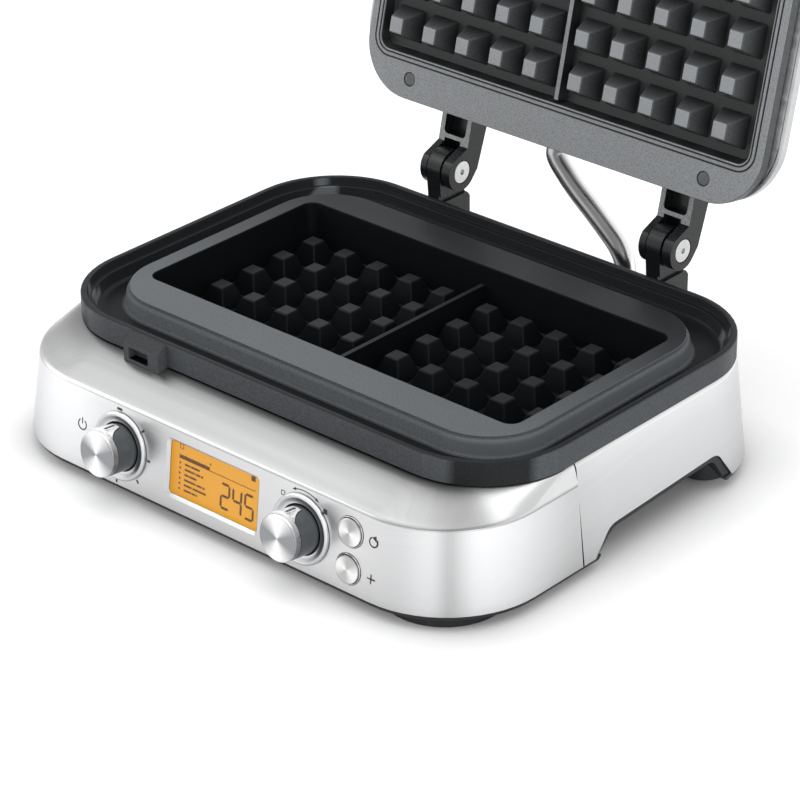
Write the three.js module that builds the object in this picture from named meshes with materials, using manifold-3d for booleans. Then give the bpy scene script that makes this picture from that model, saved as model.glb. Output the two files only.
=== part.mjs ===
import * as THREE from 'three';
import { mergeVertices } from 'three/addons/utils/BufferGeometryUtils.js';
import Module from 'manifold-3d';

// A countertop double waffle maker with its hinged lid standing open, in millimetres.
// X runs along the control panel, Y from front to back and Z up from the table.

// Driving dimensions

const bodyWidth = 330;
const bodyDepth = 264;
const bodyCorner = 57;
const steelBottom = 8;
const foldHeight = 52.4;
const fasciaSetback = 5.2;
const sideSetback = 4.3;
const shellTop = 63;
const shellBackWidth = 316.6;
const shellBackSetback = 4;
const splitY = -38;
const sheet = 2;
const gap = 0.3;

const deckDepth = 34.9;
const rimBackMargin = 4.4;
const rimSideMargin = 6.8;
const rimWidth = bodyWidth - 2 * rimSideMargin;
const rimFront = deckDepth - bodyDepth / 2;
const rimBack = bodyDepth / 2 - rimBackMargin;
const rimCorner = bodyCorner - sideSetback;
const rimTop = 76.5;
const moatSide = 21.7;
const moatFront = 26;
const moatBack = 27.1;
const landWidth = rimWidth - 2 * moatSide;
const landFront = rimFront + moatFront;
const landBack = rimBack - moatBack;
const landCorner = 33.7;
const landTop = 76.7;
const landSide = 9.8;
const landFrontDepth = 23.3;
const landBackDepth = 21.4;
const wellWidth = landWidth - 2 * landSide;
const wellFront = landFront + landFrontDepth;
const wellBack = landBack - landBackDepth;
const wellCorner = 6.8;
const wellFloor = 50.5;
const pegPitch = 23.87;
const pegMargin = 15.7;
const pegTop = 9;
const pegBase = 19;
const pegsAcross = 5;

const lidSideIn = 0.5;
const lidFrontOut = 1.4;
const lidBackOut = 3.5;
const lidWidth = landWidth - 2 * lidSideIn;
const lidFront = landFront - lidFrontOut;
const lidBack = landBack + lidBackOut;
const lidCorner = 31;
const lidFace = 77;
const coverEdge = 83.3;
const coverTop = 119.5;

const hingeBehind = 5.5;
const hingeY = bodyDepth / 2 + hingeBehind;
const hingeZ = 91.8;
const hingeSpacing = 154.4;
const lidOpenAngle = THREE.MathUtils.degToRad(103.4);

// Shared helpers

const cornerSteps = 6;
const roundSides = 18;
const smallSides = 8;
const overrun = 2 * bodyWidth;
const leastRadius = 1;

const wasm = await Module();
wasm.setup();

function toSolid(geometry) {
  const bare = geometry.clone();
  bare.deleteAttribute('normal');
  bare.deleteAttribute('uv');
  const merged = mergeVertices(bare);
  const points = merged.getAttribute('position');
  const index = Array.from(merged.index.array);
  const faces = [];
  let volume = 0;
  for (let i = 0; i < index.length; i += 3) {
    const [a, b, c] = index.slice(i, i + 3);
    if (a === b || b === c || c === a) continue;
    faces.push([a, b, c]);
    const corners = [a, b, c].map((n) => new THREE.Vector3().fromBufferAttribute(points, n));
    volume += corners[0].dot(corners[1].cross(corners[2]));
  }
  const turned = volume < 0 ? faces.map(([a, b, c]) => [a, c, b]) : faces;
  return new wasm.Manifold(new wasm.Mesh({
    numProp: 3,
    vertProperties: new Float32Array(points.array),
    triVerts: new Uint32Array(turned.flat()),
  }));
}

function toGeometry(solid) {
  const made = solid.getMesh();
  const geometry = new THREE.BufferGeometry();
  geometry.setAttribute('position', new THREE.BufferAttribute(new Float32Array(made.vertProperties), 3));
  geometry.setIndex(new THREE.BufferAttribute(new Uint32Array(made.triVerts), 1));
  return geometry;
}

function join(...pieces) {
  return toGeometry(pieces.map(toSolid).reduce((whole, piece) => whole.add(piece)));
}

function cut(piece, ...tools) {
  return toGeometry(tools.map(toSolid).reduce((whole, tool) => whole.subtract(tool), toSolid(piece)));
}

function common(a, b) {
  return toGeometry(toSolid(a).intersect(toSolid(b)));
}

// A rounded rectangle seen from above.
function outline(half, front, back, radius) {
  return { half, front, back, radius };
}

function inset(shape, by) {
  const radius = Math.max(shape.radius - by, leastRadius);
  return outline(shape.half - by, shape.front + by, shape.back - by, radius);
}

function between(a, b, share) {
  const mix = (key) => THREE.MathUtils.lerp(a[key], b[key], share);
  return outline(mix('half'), mix('front'), mix('back'), mix('radius'));
}

function ring({ half, front, back, radius }, z, steps = cornerSteps) {
  const corners = [
    [half - radius, front + radius],
    [half - radius, back - radius],
    [radius - half, back - radius],
    [radius - half, front + radius],
  ];
  return corners.flatMap(([x, y], corner) => Array.from({ length: steps + 1 }, (_, i) => {
    const angle = (corner - 1 + i / steps) * Math.PI / 2;
    return new THREE.Vector3(x + radius * Math.cos(angle), y + radius * Math.sin(angle), z);
  }));
}

// Joins rings of equal count: from the lowest to the highest with flat ends, or as a closed loop.
function loft(rings, closed = false) {
  const count = rings[0].length;
  const index = [];
  const spans = closed ? rings.length : rings.length - 1;
  for (let r = 0; r < spans; r += 1) {
    const low = r * count;
    const high = ((r + 1) % rings.length) * count;
    for (let i = 0; i < count; i += 1) {
      const next = (i + 1) % count;
      index.push(low + i, low + next, high + next, low + i, high + next, high + i);
    }
  }
  if (!closed) {
    const last = (rings.length - 1) * count;
    for (let i = 1; i < count - 1; i += 1) {
      index.push(0, i + 1, i);
      index.push(last, last + i, last + i + 1);
    }
  }
  const geometry = new THREE.BufferGeometry().setFromPoints(rings.flat());
  geometry.setIndex(index);
  return geometry;
}

function block(x0, x1, y0, y1, z0, z1) {
  const box = new THREE.BoxGeometry(x1 - x0, y1 - y0, z1 - z0);
  return box.translate((x0 + x1) / 2, (y0 + y1) / 2, (z0 + z1) / 2);
}

// A round bar or bore along Z.
function post(radius, x, y, z0, z1, sides = smallSides) {
  const bar = new THREE.CylinderGeometry(radius, radius, z1 - z0, sides);
  return bar.rotateX(Math.PI / 2).translate(x, y, (z0 + z1) / 2);
}

// A round bar or bore along X.
function rod(radius, x0, x1, y, z, sides = roundSides) {
  const bar = new THREE.CylinderGeometry(radius, radius, x1 - x0, sides);
  return bar.rotateZ(Math.PI / 2).translate((x0 + x1) / 2, y, z);
}

// A profile of [radius, height] points turned about Z.
function turned(profile, sides = roundSides) {
  const points = profile.map(([r, h]) => new THREE.Vector2(r, h));
  return new THREE.LatheGeometry(points, sides).rotateX(Math.PI / 2);
}

// A side view of [y, z] points, or a Shape of them, pushed from x0 to x1.
function prism(profile, x0, x1, curveSegments = 6) {
  const points = Array.isArray(profile) && profile.map(([y, z]) => new THREE.Vector2(y, z));
  const side = points ? new THREE.Shape(points) : profile;
  const geometry = new THREE.ExtrudeGeometry(side, { depth: x1 - x0, bevelEnabled: false, curveSegments });
  const axes = new THREE.Matrix4().makeBasis(
    new THREE.Vector3(0, 1, 0), new THREE.Vector3(0, 0, 1), new THREE.Vector3(1, 0, 0));
  return geometry.applyMatrix4(axes).translate(x0, 0, 0);
}

function tube(path, radius, steps, sides) {
  const section = new THREE.Shape().absarc(0, 0, radius, 0, 2 * Math.PI);
  return new THREE.ExtrudeGeometry(section, {
    steps, curveSegments: sides / 2, bevelEnabled: false, extrudePath: path,
  });
}

// Straight runs through the points with a curve at each inner one.
function roundedPath(points, radius) {
  const path = new THREE.CurvePath();
  let from = points[0];
  points.slice(1, -1).forEach((corner, i) => {
    const before = corner.clone().add(points[i].clone().sub(corner).setLength(radius));
    const after = corner.clone().add(points[i + 2].clone().sub(corner).setLength(radius));
    path.add(new THREE.LineCurve3(from, before));
    path.add(new THREE.QuadraticBezierCurve3(before, corner, after));
    from = after;
  });
  path.add(new THREE.LineCurve3(from, points[points.length - 1]));
  return path;
}

function material(color, roughness, metalness) {
  return new THREE.MeshStandardMaterial({ color, roughness, metalness, flatShading: true });
}

function addPiece(parent, name, geometry, look) {
  const piece = new THREE.Mesh(geometry, look);
  piece.name = name;
  parent.add(piece);
  return piece;
}

const brushedSteel = material(0xd9dbdc, 0.34, 1);
const spunSteel = material(0xe4e6e7, 0.28, 1);
const castCoating = material(0x3a4045, 0.42, 0.25);
const lidCoating = material(0x85898c, 0.5, 0.3);
const blackSatin = material(0x1b1e20, 0.45, 0.1);
const knobGrey = material(0x474d51, 0.5, 0.1);
const blackPlastic = material(0x17191a, 0.6, 0);
const rubber = material(0x1a1a1a, 0.9, 0);
const brightSteel = material(0xc9cbcc, 0.22, 1);
const elementSteel = material(0x5d5650, 0.5, 0.9);
const shieldAluminium = material(0xb9bbbc, 0.4, 1);
const woolPad = material(0xe8e4d8, 0.95, 0);
const boardGreen = material(0x2c5a3a, 0.6, 0);
const glassAmber = material(0xe3a53a, 0.1, 0);

const model = new THREE.Group();
const base = new THREE.Group();
const lid = new THREE.Group();
model.add(base, lid);

// Steel shells: the front one carries the fascia and the sloping deck, the rear one the sides and back.

const foot = outline(bodyWidth / 2, -bodyDepth / 2, bodyDepth / 2, bodyCorner);
const rim = outline(rimWidth / 2, rimFront, rimBack, rimCorner);
const mouthInset = 1;
const lipInset = 3.7;
const deckInset = 0.3;
const deckFrontOut = 1.4;
const deckTopDrop = 0.6;
const lipUnderDrop = 1.3;
const foldRadius = bodyCorner - sideSetback / 2;
const foldBackShare = 0.8;
const rise = foldHeight - steelBottom;

const backTop = foot.back - shellBackSetback;
const foldBack = foot.back - shellBackSetback * foldBackShare;
const fold = outline(foot.half - sideSetback, foot.front + fasciaSetback, foldBack, foldRadius);
const deckTop = outline(rim.half - deckInset, rim.front - deckFrontOut, backTop, rimCorner);
const mouth = inset(rim, mouthInset);
const lip = inset(rim, lipInset);
const deckTopZ = shellTop - deckTopDrop;
const deckShares = [[0.06, 0.1], [0.2, 0.24], [0.55, 0.62], [1, 1]];
const foldShares = [[0.955, 0.955]];

function shellWall(outer, lipZ) {
  const inner = outer.map(([shape, z], i) => ring(inset(shape, sheet), i === 0 ? z : z - lipUnderDrop));
  const brow = [ring(mouth, lipZ), ring(lip, lipZ), ring(lip, lipZ - sheet)];
  return loft([...outer.map(([shape, z]) => ring(shape, z)), ...brow, ...inner.reverse()], true);
}

const deckRise = deckTopZ - foldHeight;
const frontRings = [
  [foot, steelBottom],
  ...foldShares.map(([run, lift]) => [between(foot, fold, run), steelBottom + rise * lift]),
  ...deckShares.map(([run, lift]) => [between(fold, deckTop, run), foldHeight + deckRise * lift]),
];
const rearTop = outline(shellBackWidth / 2, deckTop.front, backTop, rimCorner);
const rearRings = [[foot, steelBottom], [rearTop, deckTopZ]];

function backAt(z) {
  return foot.back - shellBackSetback * (z - steelBottom) / (deckTopZ - steelBottom);
}

// The fascia frame: x along the panel, y up the fascia and z out of it, from the middle of its lower edge.
const fasciaAngle = Math.PI / 2 - Math.atan2(fasciaSetback, rise);
const fascia = new THREE.Group();
fascia.position.set(0, foot.front, steelBottom);
fascia.rotation.x = fasciaAngle;
fascia.updateMatrix();
base.add(fascia);

const panelHalf = bodyWidth / 2 - bodyCorner;
const buttonMargin = 14.5;
const browningMargin = 46.2;
const menuMargin = 43.1;
const menuX = menuMargin - panelHalf;
const browningX = panelHalf - browningMargin;
const knobUp = 22.1;
const buttonX = panelHalf - buttonMargin;
const upperButtonUp = 32.1;
const lowerButtonUp = 12.4;
const windowHalf = 30.7;
const windowLow = 8.3;
const windowHigh = 37.4;
const knobHole = 14.1;
const buttonHole = 8.4;

function throughFascia(geometry) {
  return geometry.applyMatrix4(fascia.matrix);
}

const fasciaHoles = [
  block(-windowHalf, windowHalf, windowLow, windowHigh, -3 * sheet, 3 * sheet),
  post(knobHole, menuX, knobUp, -3 * sheet, 3 * sheet, roundSides),
  post(knobHole, browningX, knobUp, -3 * sheet, 3 * sheet, roundSides),
  post(buttonHole, buttonX, upperButtonUp, -3 * sheet, 3 * sheet, roundSides),
  post(buttonHole, buttonX, lowerButtonUp, -3 * sheet, 3 * sheet, roundSides),
].map(throughFascia);

const behindSplit = block(-overrun, overrun, splitY - gap / 2, overrun, -overrun, overrun);
const frontShell = cut(shellWall(frontRings, shellTop), behindSplit, ...fasciaHoles);
addPiece(base, 'front_shell', frontShell, brushedSteel);

// Hand arch in each side of the rear shell, seen from the side.
const archFront = -28.7;
const archBack = 84;
const archTopFront = -10.8;
const archTop = 21.2;
const archTopBack = 67.4;
const archBackTop = 24.2;
const archKnee = 8.7;
const archKneeRise = 8.6;
const archHeel = 7.2;
const archHeelDrop = 3.2;
const archBendShare = 0.7;

function archShape(by, bottom) {
  const front = archFront + by;
  const back = archBack - by;
  const shape = new THREE.Shape();
  shape.moveTo(front, bottom);
  shape.lineTo(front, steelBottom - by);
  shape.lineTo(front + archKnee, steelBottom - by + archKneeRise);
  const bend = front + (archTopFront - archFront) * archBendShare;
  shape.quadraticCurveTo(bend, archTop - by, archTopFront + by, archTop - by);
  shape.lineTo(archTopBack - by, archBackTop - by);
  const heel = archTopBack - by;
  shape.quadraticCurveTo(
    heel + archHeel * archBendShare, archBackTop - by, heel + archHeel, archBackTop - archHeelDrop - by);
  shape.lineTo(back, steelBottom - by);
  shape.lineTo(back, bottom);
  return shape;
}

// Cord gland and conduit gland places in the back wall, and the bracket tenons.
const cordGlandX = -95;
const cordGlandZ = 25;
const cordGlandRadius = 7.5;
const conduitX = 42;
const conduitBoxLow = 30;
const conduitBoxHigh = 58;
const conduitSpigotRadius = 6;
const conduitSpigotZ = (conduitBoxLow + conduitBoxHigh) / 2;
const tenonHalf = 4;
const tenonLow = 42;
const tenonHigh = 50;
const hingeX = hingeSpacing / 2;

function acrossBack(radius, x, z, y0, y1) {
  return post(radius, x, -z, y0, y1, roundSides).rotateX(-Math.PI / 2);
}

const rearCuts = [
  prism(archShape(0, -overrun), -overrun, overrun),
  acrossBack(cordGlandRadius + gap, cordGlandX, cordGlandZ, foot.back / 2, overrun),
  acrossBack(conduitSpigotRadius + gap, conduitX, conduitSpigotZ, foot.back / 2, overrun),
  ...[-hingeX, hingeX].map((x) => block(
    x - tenonHalf - gap, x + tenonHalf + gap, foot.back / 2, overrun, tenonLow - gap, tenonHigh + gap)),
];
const beforeSplit = block(-overrun, overrun, -overrun, splitY + gap / 2, -overrun, overrun);
const rearShell = cut(shellWall(rearRings, shellTop), beforeSplit, ...rearCuts);
addPiece(base, 'rear_shell', rearShell, brushedSteel);

// Base tray with its ledge for the shells, side hand recesses, feet columns and posts for the plate.

const trayBottom = 5;
const trayFloorTop = 7;
const bandInset = 1.2;
const bandChamfer = 1.2;
const bandChamferRise = 0.8;
const upstandInset = 3.4;
const upstandWall = 2.5;
const upstandTop = 16;
const hoodLip = 3;
const hoodFrom = 130.5;
const hoodWall = 2.5;
const hoodTo = 162.4;
const columnX = 146;
const columnY = 83;
const columnRadius = 13;
const columnTop = 21;
const frontFootX = 121;
const frontFootY = -91;
const rearFootX = 142;
const rearFootY = 92;
const postX = 114;
const postFrontY = -68;
const postBackY = 96;
const postRadius = 6.5;
const postTop = 33.7;
const screwHole = 2.3;
const screwHeadHole = 4.7;
const screwSeat = 25;
const footStem = 4;
const footSocketDepth = 5;
const panelGapFrom = -97;
const panelGapTo = 112;
const panelGapBack = -116;

const postPlaces = [-postX, postX].flatMap((x) => [postFrontY, postBackY].map((y) => [x, y]));
const footPlaces = {
  foot_front_left: [-frontFootX, frontFootY],
  foot_front_right: [frontFootX, frontFootY],
  foot_rear_left: [-rearFootX, rearFootY],
  foot_rear_right: [rearFootX, rearFootY],
};

const ledge = steelBottom - gap;
const trayHull = loft([
  ring(inset(foot, bandInset + bandChamfer), trayBottom),
  ring(inset(foot, bandInset), trayBottom + bandChamferRise),
  ring(inset(foot, bandInset), ledge),
]);
const upstand = loft([
  ring(inset(foot, upstandInset), trayFloorTop),
  ring(inset(foot, upstandInset), upstandTop),
]);
const trayHollow = loft([
  ring(inset(foot, upstandInset + upstandWall), trayFloorTop),
  ring(inset(foot, upstandInset + upstandWall), 2 * upstandTop),
]);
const panelGap = block(panelGapFrom, panelGapTo, -overrun, panelGapBack, ledge, 2 * upstandTop);
const hoods = [-1, 1].map((side) => {
  const ends = [side * hoodFrom, side * hoodTo].sort((a, b) => a - b);
  return prism(archShape(gap, trayBottom), ends[0], ends[1]);
});
const recesses = [-1, 1].map((side) => {
  const ends = [side * (hoodFrom + hoodWall), side * overrun].sort((a, b) => a - b);
  return prism(archShape(hoodLip, -overrun), ends[0], ends[1]);
});
const columns = [-columnX, columnX].map((x) => post(
  columnRadius, x, columnY, trayBottom, columnTop, roundSides));
const trayPosts = postPlaces.map(([x, y]) => post(postRadius, x, y, trayBottom, postTop));
const screwBores = postPlaces.flatMap(([x, y]) => [
  post(screwHole, x, y, 0, 2 * postTop),
  post(screwHeadHole, x, y, -overrun, screwSeat),
]);
const footSockets = Object.values(footPlaces).map(([x, y]) => post(
  footStem + gap, x, y, -overrun, trayBottom + footSocketDepth, roundSides));
const footPads = Object.values(footPlaces).map(([x, y]) => post(
  columnRadius, x, y, trayBottom, trayBottom + footSocketDepth + sheet, roundSides));

// Standoffs for the power board stand on the tray floor.
const boardLeft = -100;
const boardRight = 10;
const boardFront = -104;
const boardBack = -50;
const boardZ = 12;
const boardThickness = 1.6;
const standoffRadius = 3;
const standoffInset = 6;
const standoffs = [boardLeft + standoffInset, boardRight - standoffInset].flatMap((x) => (
  [boardFront + standoffInset, boardBack - standoffInset].map((y) => post(
    standoffRadius, x, y, trayBottom + sheet / 2, boardZ - gap))));

const traySolid = cut(
  join(cut(join(cut(join(trayHull, upstand), trayHollow, panelGap), ...hoods), ...recesses),
    ...columns, ...trayPosts, ...footPads, ...standoffs),
  ...screwBores, ...footSockets);
addPiece(base, 'base_tray', traySolid, blackPlastic);

// Rubber feet with a stem pushed into the tray: wide discs under the front corners, small ones behind.

const footRadius = { front: 33, rear: 12 };
const footSides = { front: 32, rear: 14 };
const footChamfer = 1;
const footTop = trayBottom - gap;
const footStemTop = trayBottom + footSocketDepth - gap;
Object.entries(footPlaces).forEach(([name, [x, y]]) => {
  const end = name.startsWith('foot_front') ? 'front' : 'rear';
  const radius = footRadius[end];
  const pad = turned([
    [0, 0], [radius - footChamfer, 0], [radius, footChamfer], [radius, footTop],
    [footStem, footTop], [footStem, footStemTop], [0, footStemTop],
  ], footSides[end]);
  addPiece(base, name, pad, rubber).position.set(x, y, 0);
});

// Lower plate: one casting with rim, overflow moat, land, well with pegs, legs and the latch catch.

const rimLand = 3.4;
const ledgeDrop = 4.1;
const ledgeInset = 7;
const moatFloor = 65.5;
const moatOuterInset = 8.5;
const moatUnder = 62;
const moatRise = 1;
const underInset = 8;
const lipClearInset = 4.5;
const landDraft = 1.6;
const rimRound = 0.8;
const wellDraft = 3.2;
const wellWall = 4.5;
const wellFloorThickness = 5;
const ridgeTopHalf = 1.3;
const ridgeBaseHalf = 3.4;
const ridgeTop = 66;
const pegHeight = 12;
const legRadius = 4.5;
const legBore = 1.9;
const legBoreDepth = 16;
const shieldTop = 35;
const catchLeft = -87.8;
const catchRight = -62.8;
const catchFront = -103.3;
const catchTop = 72;
const catchUnder = 61.3;
const slotLeft = -84.2;
const slotRight = -70.2;
const slotLow = 63.5;
const slotHigh = 70;
const slotDepth = 4.8;
const pocketWall = 3.5;

const land = outline(landWidth / 2, landFront, landBack, landCorner);
const well = outline(wellWidth / 2, wellFront, wellBack, wellCorner);
const wellSteps = 4;
const skirtBottom = shellTop + gap;
const wellUnder = wellFloor - wellFloorThickness;

const pegPlaces = [-1, 1].flatMap((side) => Array.from({ length: pegsAcross ** 2 }, (_, n) => [
  side * (wellWidth / 2 - pegMargin - pegPitch * (n % pegsAcross)),
  wellFront + pegMargin + pegPitch * Math.floor(n / pegsAcross),
]));

// A square frustum standing up from the floor or hanging down from the ceiling at z0.
function peg(x, y, z0, z1, baseWidth, topWidth) {
  const square = (width, z) => [[1, -1], [1, 1], [-1, 1], [-1, -1]].map(([i, j]) => (
    new THREE.Vector3(x + i * width / 2, y + j * width / 2, z)));
  const ends = [square(baseWidth, z0), square(topWidth, z1)];
  return loft(z1 > z0 ? ends : ends.reverse());
}

function dividerRidge(front, back, z0, z1, baseHalf, topHalf) {
  const bar = (half, z) => [[half, front], [half, back], [-half, back], [-half, front]].map(([x, y]) => (
    new THREE.Vector3(x, y, z)));
  const ends = [bar(baseHalf, z0), bar(topHalf, z1)];
  return loft(z1 > z0 ? ends : ends.reverse());
}

const plateBody = loft([
  ring(inset(rim, underInset), moatUnder),
  ring(inset(rim, lipClearInset), skirtBottom),
  ring(rim, skirtBottom),
  ring(rim, rimTop - rimRound),
  ring(inset(rim, rimRound), rimTop),
  ring(inset(rim, rimRound), landTop),
]);
const moat = loft([
  ring(inset(rim, -rimLand), rimTop),
  ring(inset(rim, -rimLand), rimTop + rimLand),
  ring(land, rimTop + rimLand),
  ring(land, landTop - rimRound),
  ring(inset(land, -landDraft), moatFloor + moatRise),
  ring(between(land, rim, 0.5), moatFloor),
  ring(inset(rim, moatOuterInset), moatFloor + moatRise),
  ring(inset(rim, ledgeInset), rimTop - ledgeDrop),
  ring(inset(rim, rimLand + rimRound), rimTop - ledgeDrop),
  ring(inset(rim, rimLand), rimTop),
].reverse(), true);
const wellBox = loft([
  ring(inset(well, wellDraft - wellWall), wellUnder, wellSteps),
  ring(inset(well, -wellWall), moatUnder + rimRound, wellSteps),
]);
const wellHollow = loft([
  ring(inset(well, wellDraft), wellFloor, wellSteps),
  ring(well, landTop, wellSteps),
  ring(well, landTop + rimLand, wellSteps),
]);
const pegRoot = 1;
const pegs = pegPlaces.map(([x, y]) => peg(
  x, y, wellFloor - pegRoot, wellFloor + pegHeight, pegBase, pegTop));
const ridge = dividerRidge(
  wellFront - wellWall, wellBack + wellWall, wellFloor - pegRoot, ridgeTop, ridgeBaseHalf, ridgeTopHalf);
const legs = postPlaces.map(([x, y]) => post(legRadius, x, y, shieldTop + gap, moatUnder + rimRound));
const legBores = postPlaces.map(([x, y]) => post(legBore, x, y, 0, shieldTop + legBoreDepth));
const catchBoss = prism([
  [rimFront + rimRound, skirtBottom], [rimFront - deckFrontOut, skirtBottom - rimRound],
  [catchFront, catchUnder], [catchFront, catchTop],
  [rimFront - gap, rimTop - gap], [rimFront + rimRound, rimTop - gap],
], catchLeft, catchRight);
const catchSlot = block(slotLeft, slotRight, -overrun, catchFront + slotDepth, slotLow, slotHigh);
const pocketHalf = postX - 2 * legRadius;
const landPockets = [
  [landFront + pocketWall, wellFront - wellWall - pocketWall],
  [wellBack + wellWall + pocketWall, landBack - pocketWall],
].map(([y0, y1]) => block(-pocketHalf, pocketHalf, y0, y1, moatUnder - sheet, landTop - pocketWall));
const lowerPlate = cut(
  join(plateBody, wellBox, catchBoss, ...legs), moat, cut(wellHollow, ...pegs, ridge), catchSlot,
  ...landPockets, ...legBores);
addPiece(base, 'lower_plate', lowerPlate, castCoating);

// Heating element looped under the lower plate's well.

const elementRadius = 3.3;
const elementX = 95;
const elementFront = -26;
const elementBack = 58;
const elementTailX = 10;
const elementTailBack = 75;
const elementBend = 14;
const elementSteps = 32;
const elementSides = 6;

function elementLoop(z) {
  const places = [
    [-elementTailX, elementTailBack], [-elementTailX, elementBack], [-elementX, elementBack],
    [-elementX, elementFront], [elementX, elementFront], [elementX, elementBack],
    [elementTailX, elementBack], [elementTailX, elementTailBack],
  ];
  const path = roundedPath(places.map(([x, y]) => new THREE.Vector3(x, y, z)), elementBend / 2);
  return tube(path, elementRadius, elementSteps, elementSides);
}

addPiece(base, 'lower_element', elementLoop(wellUnder - gap - elementRadius), elementSteel);

// Heat shield dish clamped between the tray posts and the plate legs.

const shieldHalf = 126;
const shieldFront = -80;
const shieldBack = 108;
const shieldCorner = 16;
const shieldSheet = 1;
const shieldLip = 6;
const shieldHole = 2.5;

const shieldShape = outline(shieldHalf, shieldFront, shieldBack, shieldCorner);
const shieldDish = cut(
  loft([
    ring(shieldShape, shieldTop - shieldSheet, wellSteps),
    ring(shieldShape, shieldTop + shieldLip, wellSteps),
  ]),
  loft([
    ring(inset(shieldShape, shieldSheet), shieldTop, wellSteps),
    ring(inset(shieldShape, shieldSheet), shieldTop + 2 * shieldLip, wellSteps),
  ]),
  ...postPlaces.map(([x, y]) => post(shieldHole, x, y, 0, 2 * shieldTop)));
addPiece(base, 'lower_heat_shield', shieldDish, shieldAluminium);

// Long screws from below the tray through the posts and the shield into the plate legs.

const screwRadius = 1.6;
const screwHeadRadius = 4.1;
const screwHeadHeight = 3;
const screwLength = 23;
const screwNames = ['plate_screw_1', 'plate_screw_2', 'plate_screw_3', 'plate_screw_4'];
screwNames.forEach((name, i) => {
  const top = screwSeat - gap;
  const screw = turned([
    [0, top - screwHeadHeight], [screwHeadRadius, top - screwHeadHeight], [screwHeadRadius, top],
    [screwRadius, top], [screwRadius, top + screwLength], [0, top + screwLength],
  ], smallSides);
  addPiece(base, name, screw, brightSteel).position.set(postPlaces[i][0], postPlaces[i][1], 0);
});

// Hinge brackets: a lug with a round top, standing on a flange against the back wall.

const lugLeft = 6.15;
const lugRight = 3.35;
const lugRadius = 10.8;
const lugWaist = 145.6;
const lugWaistZ = 79.5;
const heelBack = 152.7;
const heelTop = 71.5;
const heelLow = 40;
const grooveLow = 73.4;
const grooveHigh = 77.6;
const grooveDepth = 1.6;
const flangeHalf = 13;
const flangeDepth = 4.5;
const flangeLow = 34;
const flangeHigh = 61;
const boltRadius = 3;
const tenonLength = 9;
const lugFront = hingeY - lugRadius;
const lugStem = rimBack + gap;

const lugShape = new THREE.Shape();
lugShape.moveTo(backAt(heelLow) + gap, heelLow);
lugShape.lineTo(heelBack, heelLow);
lugShape.lineTo(heelBack, heelTop);
lugShape.lineTo(lugWaist, lugWaistZ);
lugShape.lineTo(hingeY + lugRadius, hingeZ);
lugShape.absarc(hingeY, hingeZ, lugRadius, 0, Math.PI);
lugShape.lineTo(lugStem, rimTop + gap);
lugShape.lineTo(lugStem, shellTop);
lugShape.lineTo(backAt(shellTop) + gap, shellTop - 2 * gap);

[['left_hinge_bracket', -hingeX], ['right_hinge_bracket', hingeX]].forEach(([name, x]) => {
  const face = x + lugRight;
  const groove = block(
    face - grooveDepth, face + grooveDepth, -overrun, overrun, grooveLow, grooveHigh);
  const flange = prism([
    [backAt(flangeLow) + gap, flangeLow], [backAt(flangeLow) + flangeDepth, flangeLow],
    [backAt(flangeHigh) + flangeDepth, flangeHigh], [backAt(flangeHigh) + gap, flangeHigh],
  ], x - flangeHalf, x + flangeHalf);
  const tenonFrom = backAt(tenonLow) - tenonLength;
  const tenon = block(
    x - tenonHalf, x + tenonHalf, tenonFrom, backAt(tenonLow) + flangeDepth, tenonLow, tenonHigh);
  const lug = cut(prism(lugShape, x - lugLeft, face, smallSides), groove);
  const bore = rod(boltRadius + gap, -overrun, overrun, hingeY, hingeZ, smallSides);
  addPiece(base, name, cut(join(lug, flange, tenon), bore), blackSatin);
});

// Control carrier behind the fascia, with the display in its window.

const carrierLeft = -90;
const carrierRight = 106;
const carrierLow = 3.5;
const carrierHigh = 41;
const carrierFront = -3.6;
const carrierBack = -5.8;
const ringFlange = 1;
const windowMargin = 2.3;
const glassThickness = 1.8;
const moduleDepth = 5;
const boardFrontN = -16.4;
const boardBackN = -18;
const shaftRadius = 3;
const shaftHole = 4;
const stemRadius = 2.4;
const stemHole = 3.4;
const spacerRadius = 2.4;
const spacerUp = 37.5;
const spacerDown = 7;

const spacers = [
  [carrierLeft + 2 * spacerRadius, spacerUp],
  [carrierLeft + 2 * spacerRadius, spacerDown],
  [carrierRight - spacerRadius - gap, (spacerUp + spacerDown) / 2],
].map(([x, u]) => post(spacerRadius, x, u, boardFrontN + gap, carrierFront));
const pocketEdge = windowHalf + windowMargin;
const carrier = cut(
  join(block(carrierLeft, carrierRight, carrierLow, carrierHigh, carrierBack, carrierFront), ...spacers),
  block(-pocketEdge, pocketEdge, windowLow - windowMargin, windowHigh + windowMargin, 2 * boardBackN, 0),
  post(shaftHole, menuX, knobUp, 2 * boardBackN, 0),
  post(shaftHole, browningX, knobUp, 2 * boardBackN, 0),
  post(stemHole, buttonX, upperButtonUp, 2 * boardBackN, 0),
  post(stemHole, buttonX, lowerButtonUp, 2 * boardBackN, 0));
addPiece(fascia, 'control_carrier', carrier, blackPlastic);

const glassFront = -sheet - gap;
const glassBack = glassFront - glassThickness;
const glassGrow = windowMargin - gap;
addPiece(fascia, 'display_glass', block(
  -windowHalf - glassGrow, windowHalf + glassGrow, windowLow - glassGrow, windowHigh + glassGrow,
  glassBack, glassFront), glassAmber);
addPiece(fascia, 'display_module', block(
  -windowHalf - glassGrow, windowHalf + glassGrow, windowLow - glassGrow, windowHigh + glassGrow,
  glassBack - gap - moduleDepth, glassBack - gap), blackPlastic);

// Dished rings round the knobs, and slim rings round the buttons.

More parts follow.
